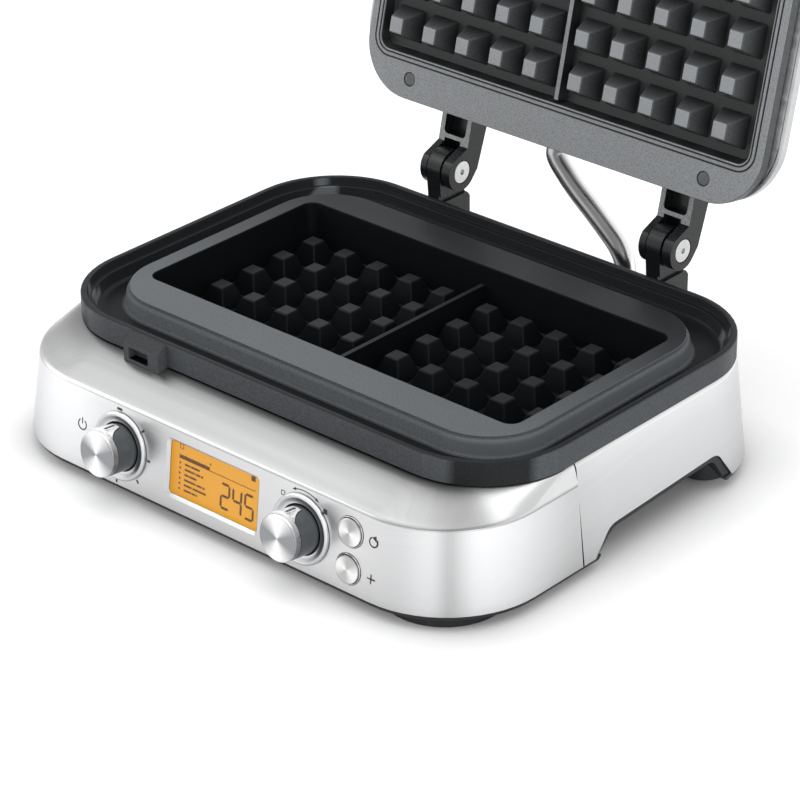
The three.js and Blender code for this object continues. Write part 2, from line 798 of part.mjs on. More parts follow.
const knobRingRadius = 18.5;
const knobRingBore = 13.25;
const knobRingSpigot = 13.8;
const knobRingEdge = 1.3;
const knobRingCrest = 2.3;
const knobRingCrestInset = 1.3;
const knobRingDishInset = 4.6;
const knobRingDish = 1.1;
const knobRing = [
  [knobRingBore, carrierFront + gap], [knobRingSpigot, carrierFront + gap], [knobRingSpigot, gap],
  [knobRingRadius, gap], [knobRingRadius, knobRingEdge], [knobRingRadius - knobRingCrestInset, knobRingCrest],
  [knobRingRadius - knobRingDishInset, knobRingDish], [knobRingBore, knobRingDish],
  [knobRingBore, carrierFront + gap],
];
[['menu_knob_ring', menuX], ['browning_knob_ring', browningX]].forEach(([name, x]) => {
  addPiece(fascia, name, turned(knobRing), spunSteel).position.set(x, knobUp, 0);
});

const buttonRingBore = 7.6;
const buttonRingRadius = 8.1;
const buttonRingFlange = 9.4;
const buttonRingFront = 0.6;
const flangeSeat = carrierFront + gap;
const buttonRing = [
  [buttonRingBore, flangeSeat], [buttonRingFlange, flangeSeat],
  [buttonRingFlange, flangeSeat + ringFlange], [buttonRingRadius, flangeSeat + ringFlange],
  [buttonRingRadius, buttonRingFront], [buttonRingBore, buttonRingFront], [buttonRingBore, flangeSeat],
];
const buttonRows = { upper: upperButtonUp, lower: lowerButtonUp };
Object.entries(buttonRows).forEach(([row, up]) => {
  const flat = block(-overrun, overrun, -overrun, carrierLow - up, -overrun, overrun);
  const trimmed = cut(turned(buttonRing), flat);
  addPiece(fascia, `${row}_button_ring`, trimmed, brightSteel).position.set(buttonX, up, 0);
});

// Buttons: a spun cap with a stem that presses its switch.

const buttonRadius = 7.3;
const buttonFace = 1.8;
const buttonDepth = 2.6;
const buttonChamfer = 0.5;
const stemEnd = -9;
const stemToSwitch = 0.4;
const buttonTravel = 1.2;
Object.entries(buttonRows).forEach(([row, up]) => {
  const cap = turned([
    [0, stemEnd], [stemRadius, stemEnd],
    [stemRadius, buttonFace - buttonDepth], [buttonRadius, buttonFace - buttonDepth],
    [buttonRadius, buttonFace - buttonChamfer], [buttonRadius - buttonChamfer, buttonFace], [0, buttonFace],
  ]);
  addPiece(fascia, `${row}_button`, cap, spunSteel).position.set(buttonX, up, 0);
});

// Knobs: a grey grip on its shaft, and a spun cap whose tongue runs back over the top of the grip.

const gripRadius = 12.5;
const gripBottom = 0.7;
const gripTop = 13;
const gripStub = 9;
const gripStubTop = 15;
const capRadius = 12.3;
const capUnder = 13.3;
const capFace = 17.6;
const capChamfer = 1.1;
const shaftEnd = -9;
const tongueDepth = 1.5;
const tongueEnd = 4.6;
const tongueFrontHalf = 7.4;
const tongueBackHalf = 2.8;
const tongueProud = 0.5;
const tongueWaist = 3.4;

function tongueOutline(grow) {
  const shape = new THREE.Shape();
  const front = capUnder + gap;
  const backEnd = tongueEnd - grow;
  shape.moveTo(-tongueFrontHalf - grow, front);
  shape.quadraticCurveTo(-tongueWaist - grow, gripTop - tongueWaist, -tongueBackHalf - grow, backEnd);
  shape.lineTo(tongueBackHalf + grow, backEnd);
  shape.quadraticCurveTo(tongueWaist + grow, gripTop - tongueWaist, tongueFrontHalf + grow, front);
  return shape;
}

// The tongue outline pushed upward through the grip's upper side.
function tonguePrism(grow) {
  const bar = new THREE.ExtrudeGeometry(tongueOutline(grow), {
    depth: overrun, bevelEnabled: false, curveSegments: 4,
  });
  const axes = new THREE.Matrix4().makeBasis(
    new THREE.Vector3(-1, 0, 0), new THREE.Vector3(0, 0, 1), new THREE.Vector3(0, 1, 0));
  return bar.applyMatrix4(axes);
}

function sleeve(outer, inner, z0, z1) {
  return turned([[inner, z0], [outer, z0], [outer, z1], [inner, z1], [inner, z0]]);
}

const tongueBed = common(
  sleeve(gripRadius + tongueProud, gripRadius - tongueDepth - gap, 0, capUnder), tonguePrism(gap));
const grip = cut(turned([
  [0, shaftEnd], [shaftRadius, shaftEnd], [shaftRadius, gripBottom], [gripRadius, gripBottom],
  [gripRadius, gripTop], [gripStub, gripTop], [gripStub, gripStubTop], [0, gripStubTop],
]), tongueBed);
const capDisc = turned([
  [0, gripStubTop + gap], [gripStub + gap, gripStubTop + gap],
  [gripStub + gap, capUnder], [capRadius, capUnder],
  [capRadius, capFace - capChamfer], [capRadius - capChamfer, capFace], [0, capFace],
]);
const tongue = common(
  sleeve(gripRadius + tongueProud, gripRadius - tongueDepth, 0, capUnder + gap), tonguePrism(0));
const cap = join(capDisc, tongue);
[['menu', menuX], ['browning', browningX]].forEach(([name, x]) => {
  const knob = new THREE.Group();
  knob.position.set(x, knobUp, 0);
  fascia.add(knob);
  addPiece(knob, `${name}_knob`, grip, knobGrey);
  addPiece(knob, `${name}_knob_cap`, cap, spunSteel);
});

// Control board with the rotary controls and the button switches.

const rotaryHalf = 7;
const rotaryBoreEnd = -12;
const switchHalf = 3;
const controlBoard = block(
  carrierLeft, carrierRight, spacerDown - spacerRadius, carrierHigh - spacerRadius, boardBackN, boardFrontN);
addPiece(fascia, 'control_board', controlBoard, boardGreen);
[['menu_switch', menuX], ['browning_control', browningX]].forEach(([name, x]) => {
  const body = block(-rotaryHalf, rotaryHalf, -rotaryHalf, rotaryHalf, boardFrontN + gap, carrierBack - gap);
  const bore = post(shaftRadius + gap, 0, 0, rotaryBoreEnd, 0);
  addPiece(fascia, name, cut(body, bore), blackPlastic).position.set(x, knobUp, 0);
});
Object.entries(buttonRows).forEach(([row, up]) => {
  const switchFront = stemEnd - buttonTravel - stemToSwitch;
  const body = block(
    -switchHalf, switchHalf, -switchHalf, switchHalf, boardFrontN + gap, switchFront);
  addPiece(fascia, `${row}_button_switch`, body, blackPlastic).position.set(buttonX, up, 0);
});

// Power board on its standoffs, with a transformer and a relay soldered to it.

const transformerWidth = 30;
const transformerDepth = 26;
const transformerHeight = 17;
const relayWidth = 20;
const relayDepth = 16;
const relayHeight = 15;
const capacitorRadius = 6;
const capacitorHeight = 14;
const boardPartShares = [0.25, 0.66, 0.87];

const boardMiddle = (boardFront + boardBack) / 2;
const boardTop = boardZ + boardThickness;
const [transformerX, relayX, capacitorX] = boardPartShares.map((share) => (
  THREE.MathUtils.lerp(boardLeft, boardRight, share)));
function onBoard(x, width, depth, height) {
  return block(x - width / 2, x + width / 2, -depth / 2, depth / 2, boardZ, boardTop + height)
    .translate(0, boardMiddle, 0);
}

const powerBoard = join(
  block(boardLeft, boardRight, boardFront, boardBack, boardZ, boardTop),
  onBoard(transformerX, transformerWidth, transformerDepth, transformerHeight),
  onBoard(relayX, relayWidth, relayDepth, relayHeight),
  post(capacitorRadius, capacitorX, boardMiddle, boardZ, boardTop + capacitorHeight));
addPiece(base, 'power_board', powerBoard, boardGreen);

// Cord gland in the back wall.

const glandFlangeRadius = 9.5;
const glandFlangeDepth = 3;
const glandInner = 6;
const glandBore = 3.6;
const glandFlangeY = backAt(cordGlandZ - glandFlangeRadius) + gap;
const glandEnd = glandFlangeY + glandFlangeDepth;
const cordGland = cut(
  join(
    acrossBack(cordGlandRadius, cordGlandX, cordGlandZ, glandFlangeY - glandInner, glandEnd),
    acrossBack(glandFlangeRadius, cordGlandX, cordGlandZ, glandFlangeY, glandEnd)),
  acrossBack(glandBore, cordGlandX, cordGlandZ, 0, overrun));
addPiece(base, 'cord_gland', cordGland, blackPlastic);

// Conduit box on the back wall, the conduit's lower end.

const conduitBoxHalf = 11;
const conduitBoxOut = 26;
const conduitInset = 10;
const conduitBoxBack = bodyDepth / 2 + conduitBoxOut;
const conduitY = conduitBoxBack - conduitInset;
const conduitRadius = 5.8;
const conduitSpigotLength = 6;
const conduitBox = join(
  prism([
    [backAt(conduitBoxLow) + gap, conduitBoxLow], [conduitBoxBack, conduitBoxLow],
    [conduitBoxBack, conduitBoxHigh], [backAt(conduitBoxHigh) + gap, conduitBoxHigh],
  ], conduitX - conduitBoxHalf, conduitX + conduitBoxHalf),
  acrossBack(conduitSpigotRadius, conduitX, conduitSpigotZ,
    backAt(conduitSpigotZ) - conduitSpigotLength, conduitBoxBack - conduitRadius));
addPiece(base, 'conduit_base_gland', conduitBox, blackPlastic);

// Lid, modelled closed and then turned open about the hinge axis.

lid.position.set(0, hingeY, hingeZ);
lid.rotation.x = -lidOpenAngle;
lid.updateMatrix();

function addToLid(name, geometry, look) {
  return addPiece(lid, name, geometry.translate(0, -hingeY, -hingeZ), look);
}

// Upper plate: a casting with a grooved border, pegs in a recess and four fixing studs.

const lidFlange = 6;
const lidRecess = 6;
const lidPegProud = 7.5;
const lidBackRise = 6;
const lidDraft = 2;
const grooveWidth = 1;
const grooveDip = 0.8;
const grooveOut = 1;
const grooveStep = 2.6;
const studX = 101.9;
const studBackInset = 11.6;
const studFrontInset = 9.5;
const studHeadRadius = 3.8;
const studHeadHeight = 2;
const studRadius = 2;
const studSink = 0.1;

const lidShape = outline(lidWidth / 2, lidFront, lidBack, lidCorner);
const recessTop = lidFace + lidRecess;
const castingBack = recessTop + lidBackRise;
const flangeBack = lidFace + lidFlange;
const studPlaces = {
  stud_front_left: [-studX, lidFront + studFrontInset],
  stud_front_right: [studX, lidFront + studFrontInset],
  stud_rear_left: [-studX, lidBack - studBackInset],
  stud_rear_right: [studX, lidBack - studBackInset],
};

function borderGroove(out) {
  return loft([
    ring(inset(well, -out), lidFace + grooveDip, wellSteps),
    ring(inset(well, -out), lidFace - grooveDip, wellSteps),
    ring(inset(well, -out - grooveWidth), lidFace - grooveDip, wellSteps),
    ring(inset(well, -out - grooveWidth), lidFace + grooveDip, wellSteps),
  ].reverse(), true);
}

const upperBody = join(
  loft([ring(lidShape, lidFace), ring(lidShape, flangeBack)]),
  loft([
    ring(inset(well, -wellWall), recessTop - sheet, wellSteps),
    ring(inset(well, -wellWall), castingBack, wellSteps),
  ]));
const upperRecess = loft([
  ring(well, lidFace - sheet, wellSteps),
  ring(well, lidFace, wellSteps),
  ring(inset(well, lidDraft), recessTop, wellSteps),
]);
const pegTip = lidFace - lidPegProud;
const upperPegs = pegPlaces.map(([x, y]) => peg(x, y, recessTop + pegRoot, pegTip, pegBase, pegTop));
const upperRidge = dividerRidge(
  wellFront - wellWall, wellBack + wellWall, recessTop + pegRoot, lidFace, ridgeBaseHalf, ridgeTopHalf);
const studHoles = Object.values(studPlaces).flatMap(([x, y]) => [
  post(studHeadRadius + gap, x, y, lidFace - sheet, lidFace + studHeadHeight + gap + studSink),
  post(studRadius + gap, x, y, lidFace - sheet, 2 * flangeBack),
]);
const upperPlate = cut(
  join(
    cut(upperBody, upperRecess, borderGroove(grooveOut), borderGroove(grooveOut + grooveStep)),
    ...upperPegs, common(upperRidge, join(upperRecess, upperBody))),
  ...studHoles);
addToLid('upper_plate', upperPlate, lidCoating);

// Lid frame: a ring on the casting's back that carries plate, cover, arms and handle.

const frameThickness = 4.4;
const coverOut = 6;
const coverCorner = 37;
const coverBackOut = -1;
const frameInner = wellWall + gap + gap / 2;
const armHalf = 10.75;
const armUnder = 93.3;
const armPadFront = 85.5;
const armPadBack = 97.5;
const handleX = hingeX;
const bracketHalf = 10;
const handlePadFront = -69;
const handlePadBack = -57;
const studEnd = 1;

const coverShape = outline(lidWidth / 2 + coverOut, lidFront - coverOut, lidBack + coverBackOut, coverCorner);
const frameShape = inset(coverShape, sheet + gap);
const frameLow = flangeBack + gap;
const frameHigh = frameLow + frameThickness;
const framePads = [
  ...[-hingeX, hingeX].map((x) => block(
    x - armHalf, x + armHalf, armPadFront, armPadBack, frameHigh - sheet, armUnder - gap)),
  ...[-handleX, handleX].map((x) => block(
    x - bracketHalf, x + bracketHalf, handlePadFront, handlePadBack, frameHigh - sheet, armUnder - gap)),
];
const lidFrame = cut(
  join(
    loft([ring(frameShape, frameLow), ring(frameShape, frameHigh)]), ...framePads),
  loft([
    ring(inset(well, -frameInner), frameLow - sheet, wellSteps),
    ring(inset(well, -frameInner), frameHigh + sheet, wellSteps),
  ]),
  ...Object.values(studPlaces).map(([x, y]) => post(studRadius + gap, x, y, 0, frameHigh - studEnd)));
addToLid('lid_frame', lidFrame, elementSteel);

Object.entries(studPlaces).forEach(([name, [x, y]]) => {
  const head = lidFace + studSink;
  const shoulder = head + studHeadHeight;
  const stud = turned([
    [0, head], [studHeadRadius, head], [studHeadRadius, shoulder], [studRadius, shoulder],
    [studRadius, frameHigh - studEnd - gap], [0, frameHigh - studEnd - gap],
  ], smallSides).translate(x, y, 0);
  addToLid(name, stud, brightSteel);
});

// Lid cover: a pressed silver shell with sloping sides and cut-outs for arms and handle brackets.

const bevelRise = 28.7;
const bevelHalf = 116;
const bevelFront = -54;
const bevelBack = 94;
const bevelCorner = 34;
const crownRise = 34.7;
const crownInset = 16;
const coverWallRise = 5.7;
const capInset = 8;
const notchGap = 0.5;
const armTop = 107.3;
const bracketTop = 105;
const lidGlandX = -8;
const lidGlandZ = 96.9;
const lidGlandRadius = 6;
const coverRoof = 1.5;

const bevelShape = outline(bevelHalf, bevelFront, bevelBack, bevelCorner);
const crownShape = inset(bevelShape, crownInset);
const coverOuter = loft([
  ring(coverShape, coverEdge),
  ring(coverShape, coverEdge + coverWallRise),
  ring(bevelShape, coverEdge + bevelRise),
  ring(crownShape, coverEdge + crownRise),
  ring(inset(crownShape, capInset), coverTop),
]);
const coverInner = loft([
  ring(inset(coverShape, sheet), coverEdge - sheet),
  ring(inset(coverShape, sheet), coverEdge + coverWallRise - sheet / 2),
  ring(inset(bevelShape, sheet), coverEdge + bevelRise - sheet / 2),
  ring(inset(crownShape, sheet), coverEdge + crownRise - coverRoof),
  ring(inset(crownShape, capInset + sheet), coverTop - coverRoof),
]);
const notchLow = armUnder - notchGap;
const armNotches = [-hingeX, hingeX].map((x) => block(
  x - armHalf - notchGap, x + armHalf + notchGap, bevelBack - 2 * sheet, overrun,
  notchLow, armTop + notchGap));
const bracketNotches = [-handleX, handleX].map((x) => block(
  x - bracketHalf - notchGap, x + bracketHalf + notchGap, -overrun, bevelFront - sheet,
  notchLow, bracketTop + notchGap));
const glandHole = acrossBack(lidGlandRadius + gap, lidGlandX, lidGlandZ, bevelBack - 3 * sheet, overrun);
addToLid('lid_cover', cut(coverOuter, coverInner, ...armNotches, ...bracketNotches, glandHole), brushedSteel);

// Upper heating element, its shield and the insulation pad.

const upperElementZ = castingBack + gap + elementRadius;
addToLid('upper_element', elementLoop(upperElementZ), elementSteel);

const upperShieldHalf = 105;
const upperShieldFront = -40;
const upperShieldBack = 74;
const upperShieldCorner = 10;
const upperShieldLow = upperElementZ + elementRadius + gap;
const shieldLegX = 102;
const shieldLegInset = 6;
const shieldLegRadius = 2.5;
const upperShieldShape = outline(upperShieldHalf, upperShieldFront, upperShieldBack, upperShieldCorner);
const shieldLegs = [-shieldLegX, shieldLegX].flatMap((x) => (
  [upperShieldFront + shieldLegInset, upperShieldBack - shieldLegInset].map((y) => post(
    shieldLegRadius, x, y, castingBack + gap, upperShieldLow + shieldSheet / 2, wellSteps * 2))));
addToLid('upper_heat_shield', join(
  loft([
    ring(upperShieldShape, upperShieldLow, wellSteps),
    ring(upperShieldShape, upperShieldLow + shieldSheet, wellSteps),
  ]), ...shieldLegs), shieldAluminium);

const padInset = 5;
const padThickness = 9;
const padLow = upperShieldLow + shieldSheet + gap;
addToLid('upper_insulation', loft([
  ring(inset(upperShieldShape, padInset), padLow, wellSteps),
  ring(inset(upperShieldShape, padInset), padLow + padThickness, wellSteps),
]), woolPad);

// Hinge arms: a bar from the frame that forks into two ears, with a framed recess in its lower face.

const armInner = 80;
const forkLeftWall = 0.4;
const forkRightWall = 1.6;
const forkLeft = lugLeft + forkLeftWall;
const forkRight = lugRight + forkRightWall;
const earRadius = 11;
const armKneeY = 123.9;
const armBackY = 112;
const armShoulderY = 136.2;
const armShoulderZ = 104.9;
const clevisFront = 121.8;
const clevisRoof = 100.5;
const armWindowHalf = 7.7;
const armWindowFrom = 101.2;
const armWindowTo = 119.4;
const armWindowCorner = 2.4;
const windowShape = outline(armWindowHalf, armWindowFrom, armWindowTo, armWindowCorner);
const windowDeep = 8;
const earStart = THREE.MathUtils.degToRad(236.6);
const earEnd = THREE.MathUtils.degToRad(422.4);

const armShape = new THREE.Shape();
armShape.moveTo(armInner, armUnder);
armShape.lineTo(armKneeY, armUnder);
armShape.absarc(hingeY, hingeZ, earRadius, earStart, earEnd);
armShape.lineTo(armShoulderY, armShoulderZ);
armShape.lineTo(armBackY, armTop);
armShape.lineTo(armInner, armTop);

const boltHeadRadius = 6.5;
const boltHeadHeight = 1.5;
[['left_hinge_arm', -hingeX], ['right_hinge_arm', hingeX]].forEach(([name, x]) => {
  const fork = [
    rod(lugRadius + 2 * gap, x - forkLeft, x + forkRight, hingeY, hingeZ),
    block(x - forkLeft, x + forkRight, hingeY - leastRadius, overrun, -overrun, overrun),
    block(x - forkLeft, x + forkRight, lugFront - leastRadius, overrun, -overrun, hingeZ),
    block(x - forkLeft, x + forkRight, clevisFront, hingeY, -overrun, clevisRoof),
  ];
  const window = loft([
    ring(windowShape, armUnder - overrun, wellSteps),
    ring(windowShape, armUnder + windowDeep, wellSteps),
  ]).translate(x, 0, 0);
  const seat = rod(
    boltHeadRadius + gap, x + armHalf - boltHeadHeight - gap, x + armHalf + sheet, hingeY, hingeZ);
  const bore = rod(boltRadius + gap, x - armHalf - sheet, x + armHalf + sheet, hingeY, hingeZ, smallSides);
  const arm = cut(prism(armShape, x - armHalf, x + armHalf, smallSides), ...fork, window, bore, seat);
  addToLid(name, arm, blackSatin);
});

// Hinge bolts: a round socket head sunk in the right ear of each hinge, the shank through lug and ears.

const boltSocketRadius = 1.7;
const boltSocketDepth = 1;
[['left_hinge_bolt', -hingeX], ['right_hinge_bolt', hingeX]].forEach(([name, x]) => {
  const headEnd = x + armHalf;
  const face = headEnd - boltHeadHeight;
  const bolt = cut(
    join(
      rod(boltRadius, x - armHalf, face + gap, hingeY, hingeZ, smallSides),
      rod(boltHeadRadius, face, headEnd, hingeY, hingeZ)),
    rod(boltSocketRadius, headEnd - boltSocketDepth, headEnd + boltHeadHeight, hingeY, hingeZ, 6));
  addToLid(name, bolt, brightSteel);
});

// Handle: two brackets from the frame, each ending in an eye round the grip bar.

const barY = -124;
const barZ = 100;
const barRadius = 9;
const barHalf = 100;
const barChamfer = 1.5;
const eyeRadius = 14;
const bracketInner = -55;
const latchY = -103;
const latchZ = 88;
const latchHalf = 6.4;
const pinRadius = 1.5;
const pinLugRadius = 4.6;

const latchX = -handleX;
[['left_handle_bracket', -handleX], ['right_handle_bracket', handleX]].forEach(([name, x]) => {
  const body = [
    block(x - bracketHalf, x + bracketHalf, barY, bracketInner, armUnder, bracketTop),
    rod(eyeRadius, x - bracketHalf, x + bracketHalf, barY, barZ),
  ];
  const bores = [rod(barRadius + gap, -overrun, overrun, barY, barZ)];
  if (x === latchX) {
    [-1, 1].forEach((side) => {
      const ends = [x + side * bracketHalf, x + side * (latchHalf + gap)].sort((a, b) => a - b);
      body.push(rod(pinLugRadius, ...ends, latchY, latchZ));
      body.push(block(...ends, latchY - pinLugRadius, latchY + pinLugRadius, latchZ, armUnder + sheet));
    });
    bores.push(rod(pinRadius + gap, -overrun, overrun, latchY, latchZ, smallSides));
  }
  addToLid(name, cut(join(...body), ...bores), blackSatin);
});

const bar = turned([
  [0, -barHalf], [barRadius - barChamfer, -barHalf], [barRadius, barChamfer - barHalf],
  [barRadius, barHalf - barChamfer], [barRadius - barChamfer, barHalf], [0, barHalf],
]).rotateY(Math.PI / 2).translate(0, barY, barZ);
addToLid('handle_bar', bar, brightSteel);
addToLid('latch_pin', rod(
  pinRadius, latchX - bracketHalf, latchX + bracketHalf, latchY, latchZ, smallSides), brightSteel);

// Latch lever on its pin, swung out: its tooth enters the catch on the lower plate when it hangs straight.

const latchOut = THREE.MathUtils.degToRad(28);
const leverClear = 0.5;
const leverThickness = 3.8;
const leverHub = 4.2;
const leverBottom = 26;
const tabLength = 8.5;
const tabThickness = 1.9;
const toothClear = 0.7;

const leverFace = catchFront - leverClear - latchY;
const leverMiddle = leverFace - leverThickness / 2;
const toothTip = catchFront + slotDepth - leverClear - toothClear - latchY;
const lever = cut(
  join(
    prism([
      [leverFace - leverThickness, 0], [leverFace - leverThickness, -leverBottom + tabThickness],
      [leverFace - leverThickness - tabLength / 2, -leverBottom + tabThickness],
      [leverFace - leverThickness - tabLength / 2, -leverBottom], [leverFace, -leverBottom], [leverFace, 0],
    ], -latchHalf, latchHalf),
    prism([
      [leverMiddle, slotLow + toothClear - latchZ], [toothTip, slotLow + toothClear - latchZ],
      [toothTip, slotHigh - 2 * toothClear - latchZ], [leverMiddle, slotHigh - toothClear - latchZ],
    ], -latchHalf, latchHalf),
    rod(leverHub, -latchHalf, latchHalf, 0, 0, smallSides)),
  rod(pinRadius + gap, -overrun, overrun, 0, 0, smallSides));
const leverGroup = new THREE.Group();
leverGroup.position.set(latchX, latchY - hingeY, latchZ - hingeZ);
leverGroup.rotation.x = -latchOut;
lid.add(leverGroup);
addPiece(leverGroup, 'latch_lever', lever, blackSatin);

// Conduit gland in the lid's back wall, and the conduit that hangs from it to the box on the base.

const lidGlandFlange = 8;
const lidGlandFlangeDepth = 2;
const lidGlandLength = 10;
const glandFace = coverShape.back + gap;
const flangeEnd = glandFace + lidGlandFlangeDepth;
addToLid('conduit_lid_gland', join(
  acrossBack(lidGlandRadius, lidGlandX, lidGlandZ, glandFace - lidGlandLength, flangeEnd),
  acrossBack(lidGlandFlange, lidGlandX, lidGlandZ, glandFace, flangeEnd)), blackSatin);

const conduitSteps = 26;
const conduitSides = 10;
const glandOut = flangeEnd + gap;
const lidEnd = new THREE.Vector3(lidGlandX, glandOut - hingeY, lidGlandZ - hingeZ).applyMatrix4(lid.matrix);
const lidLead = new THREE.Vector3(lidGlandX, glandOut + conduitRadius - hingeY, lidGlandZ - hingeZ)
  .applyMatrix4(lid.matrix);
const conduitShares = [
  [0.17, 0.753], [0.346, 0.625], [0.54, 0.504], [0.728, 0.38], [0.898, 0.254], [0.968, 0.161],
];
const conduitFoot = new THREE.Vector3(conduitX, conduitY, conduitBoxHigh + gap);
const conduitPath = new THREE.CatmullRomCurve3([
  lidEnd, lidLead,
  ...conduitShares.map(([across, up]) => new THREE.Vector3(
    THREE.MathUtils.lerp(lidEnd.x, conduitFoot.x, across), conduitY,
    THREE.MathUtils.lerp(conduitFoot.z, lidEnd.z, up))),
  conduitFoot.clone().add(new THREE.Vector3(0, 0, conduitRadius / 2)), conduitFoot,
], false, 'centripetal');
addPiece(base, 'wiring_conduit', tube(conduitPath, conduitRadius, conduitSteps, conduitSides), brightSteel);

// The origin goes to the middle of the footprint of the whole object, on the table.

model.updateMatrixWorld(true);
const bounds = new THREE.Box3().setFromObject(model, true);
const centre = bounds.getCenter(new THREE.Vector3());
model.position.set(-centre.x, -centre.y, -bounds.min.z);
model.updateMatrixWorld(true);
model.traverse((piece) => {
  if (piece.isMesh) piece.geometry.computeVertexNormals();
});

const waffleMaker = new THREE.Group();
waffleMaker.add(model);

export default waffleMaker;
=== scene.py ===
from math import atan2, cos, hypot, pi, radians, sin

import bmesh
import bpy
import numpy as np
from mathutils import Matrix, Vector


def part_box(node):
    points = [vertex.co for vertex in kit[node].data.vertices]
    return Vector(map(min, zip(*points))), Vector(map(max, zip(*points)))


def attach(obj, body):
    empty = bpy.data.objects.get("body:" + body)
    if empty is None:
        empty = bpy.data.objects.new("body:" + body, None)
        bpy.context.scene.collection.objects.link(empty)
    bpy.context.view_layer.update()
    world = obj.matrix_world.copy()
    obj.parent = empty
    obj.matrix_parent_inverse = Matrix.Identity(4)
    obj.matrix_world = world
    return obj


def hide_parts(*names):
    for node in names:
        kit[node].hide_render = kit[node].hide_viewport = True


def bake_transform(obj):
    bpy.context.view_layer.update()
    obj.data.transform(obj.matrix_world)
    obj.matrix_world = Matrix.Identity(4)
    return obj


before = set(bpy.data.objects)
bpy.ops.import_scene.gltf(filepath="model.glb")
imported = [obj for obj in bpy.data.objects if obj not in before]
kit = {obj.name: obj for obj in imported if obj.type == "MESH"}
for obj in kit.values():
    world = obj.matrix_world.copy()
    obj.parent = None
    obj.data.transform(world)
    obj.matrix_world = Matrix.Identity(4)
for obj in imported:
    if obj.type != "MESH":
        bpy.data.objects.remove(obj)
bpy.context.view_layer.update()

# Base tray. One black moulding that everything stands in, with a hood over each hand arch and posts
# for the plate. The steel shells drop onto its ledge from above.

# Sizes are the maker's millimetres from the middle of the base, and at() puts them in the frame.
FRONT_TO_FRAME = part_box("front_shell")[0].y * 1000 + 132


def at(x, y, z):
    return Vector((x, y + FRONT_TO_FRAME, z)) / 1000


def rounded(half, front, back, radius, z, grow=0.0, steps=14, place=at):
    """A rounded rectangle seen from above as a ring of points."""
    half, front, back, radius = half + grow, front - grow, back + grow, max(radius + grow, 0.5)
    middles = [(half - radius, front + radius), (half - radius, back - radius),
               (radius - half, back - radius), (radius - half, front + radius)]
    ring = []
    for corner, (x, y) in enumerate(middles):
        for i in range(steps + 1):
            angle = (corner - 1 + i / steps) * pi / 2
            ring.append(place(x + radius * cos(angle), y + radius * sin(angle), z))
    return ring


def set_up(name, data):
    """Puts a mesh, lamp or camera in the scene."""
    thing = bpy.data.objects.new(name, data)
    bpy.context.scene.collection.objects.link(thing)
    return thing


def to_object(name, points, faces=(), edges=()):
    mesh = bpy.data.meshes.new(name)
    mesh.from_pydata([tuple(p) for p in points], edges, faces)
    return set_up(name, mesh)


def outward(piece):
    """Joins what meets and turns all faces outward."""
    work = bmesh.new()
    work.from_mesh(piece.data)
    bmesh.ops.remove_doubles(work, verts=work.verts, dist=1e-7)
    if work.faces:
        bmesh.ops.delete(work, geom=[e for e in work.edges if not e.link_faces], context="EDGES")
    bmesh.ops.recalc_face_normals(work, faces=work.faces)
    work.to_mesh(piece.data)
    work.free()
    return piece


def loft(name, rings, closed=False):
    """Joins rings of equal count, with flat ends or as a closed loop."""
    count = len(rings[0])
    faces = []
    for r in range(len(rings) if closed else len(rings) - 1):
        low, high = r * count, (r + 1) % len(rings) * count
        faces += [(low + i, low + (i + 1) % count, high + (i + 1) % count, high + i) for i in range(count)]
    if not closed:
        faces += [tuple(range(count)), tuple(range(len(rings) * count - count, len(rings) * count))]
    return outward(to_object(name, [p for ring in rings for p in ring], faces))


def rings_of(shape, levels, place=at):
    """Rings of one rounded shape, at levels of (height, growth)."""
    return [rounded(**shape, z=z, grow=grow, place=place) for z, grow in levels]


def stack(name, shape, levels, place=at):
    return loft(name, rings_of(shape, levels, place))


def curve(a, b, c, steps=8):
    """Points of a smooth curve from a to c that leans to b."""
    return [tuple((1 - t) ** 2 * p + 2 * t * (1 - t) * q + t * t * r for p, q, r in zip(a, b, c))
            for t in (k / steps for k in range(steps + 1))]


def prism(name, side_view, x0, x1, place=at):
    """A side view of (y, z) points pushed from x0 to x1."""
    return loft(name, [[place(x, y, z) for y, z in side_view] for x in (x0, x1)])


def block(name, x0, x1, y0, y1, z0, z1, place=at):
    return prism(name, [(y0, z0), (y1, z0), (y1, z1), (y0, z1)], x0, x1, place)


def lathe(name, profile, middle, place=at, along="z", sides=48):
    """A closed profile of (radius, height) points turned about an axis through the middle."""
    rings = []
    for k in range(sides):
        c, s = cos(2 * pi * k / sides), sin(2 * pi * k / sides)
        turned = {"z": lambda r, h: (r * c, r * s, h), "x": lambda r, h: (h, r * c, r * s),
                  "y": lambda r, h: (r * s, h, r * c)}[along]
        rings.append([place(*(m + d for m, d in zip(middle, turned(r, h)))) for r, h in profile])
    return loft(name, rings, closed=True)


def rod(name, radius, low, high, middle, place=at, along="z", sides=48):
    return lathe(name, [(0, low), (radius, low), (radius, high), (0, high)], middle, place, along, sides)


def post(name, radius, x, y, low, high, sides=40):
    return rod(name, radius, low, high, (x, y, 0), sides=sides)


def bake(piece):
    """Keeps the mesh that the modifiers give, and drops the modifiers."""
    baked = bpy.data.meshes.new_from_object(piece.evaluated_get(bpy.context.evaluated_depsgraph_get()))
    piece.modifiers.clear()
    piece.data = baked
    return piece


def carve(piece, *tools, how="DIFFERENCE"):
    """Cuts the tools from the piece, or joins them to it."""
    for tool in tools:
        step = piece.modifiers.new("step", "BOOLEAN")
        step.operation, step.solver, step.object = how, "MANIFOLD", tool
    bake(piece)
    for tool in tools:
        bpy.data.objects.remove(tool)
    return piece


def join(piece, *tools):
    return carve(piece, *tools, how="UNION")


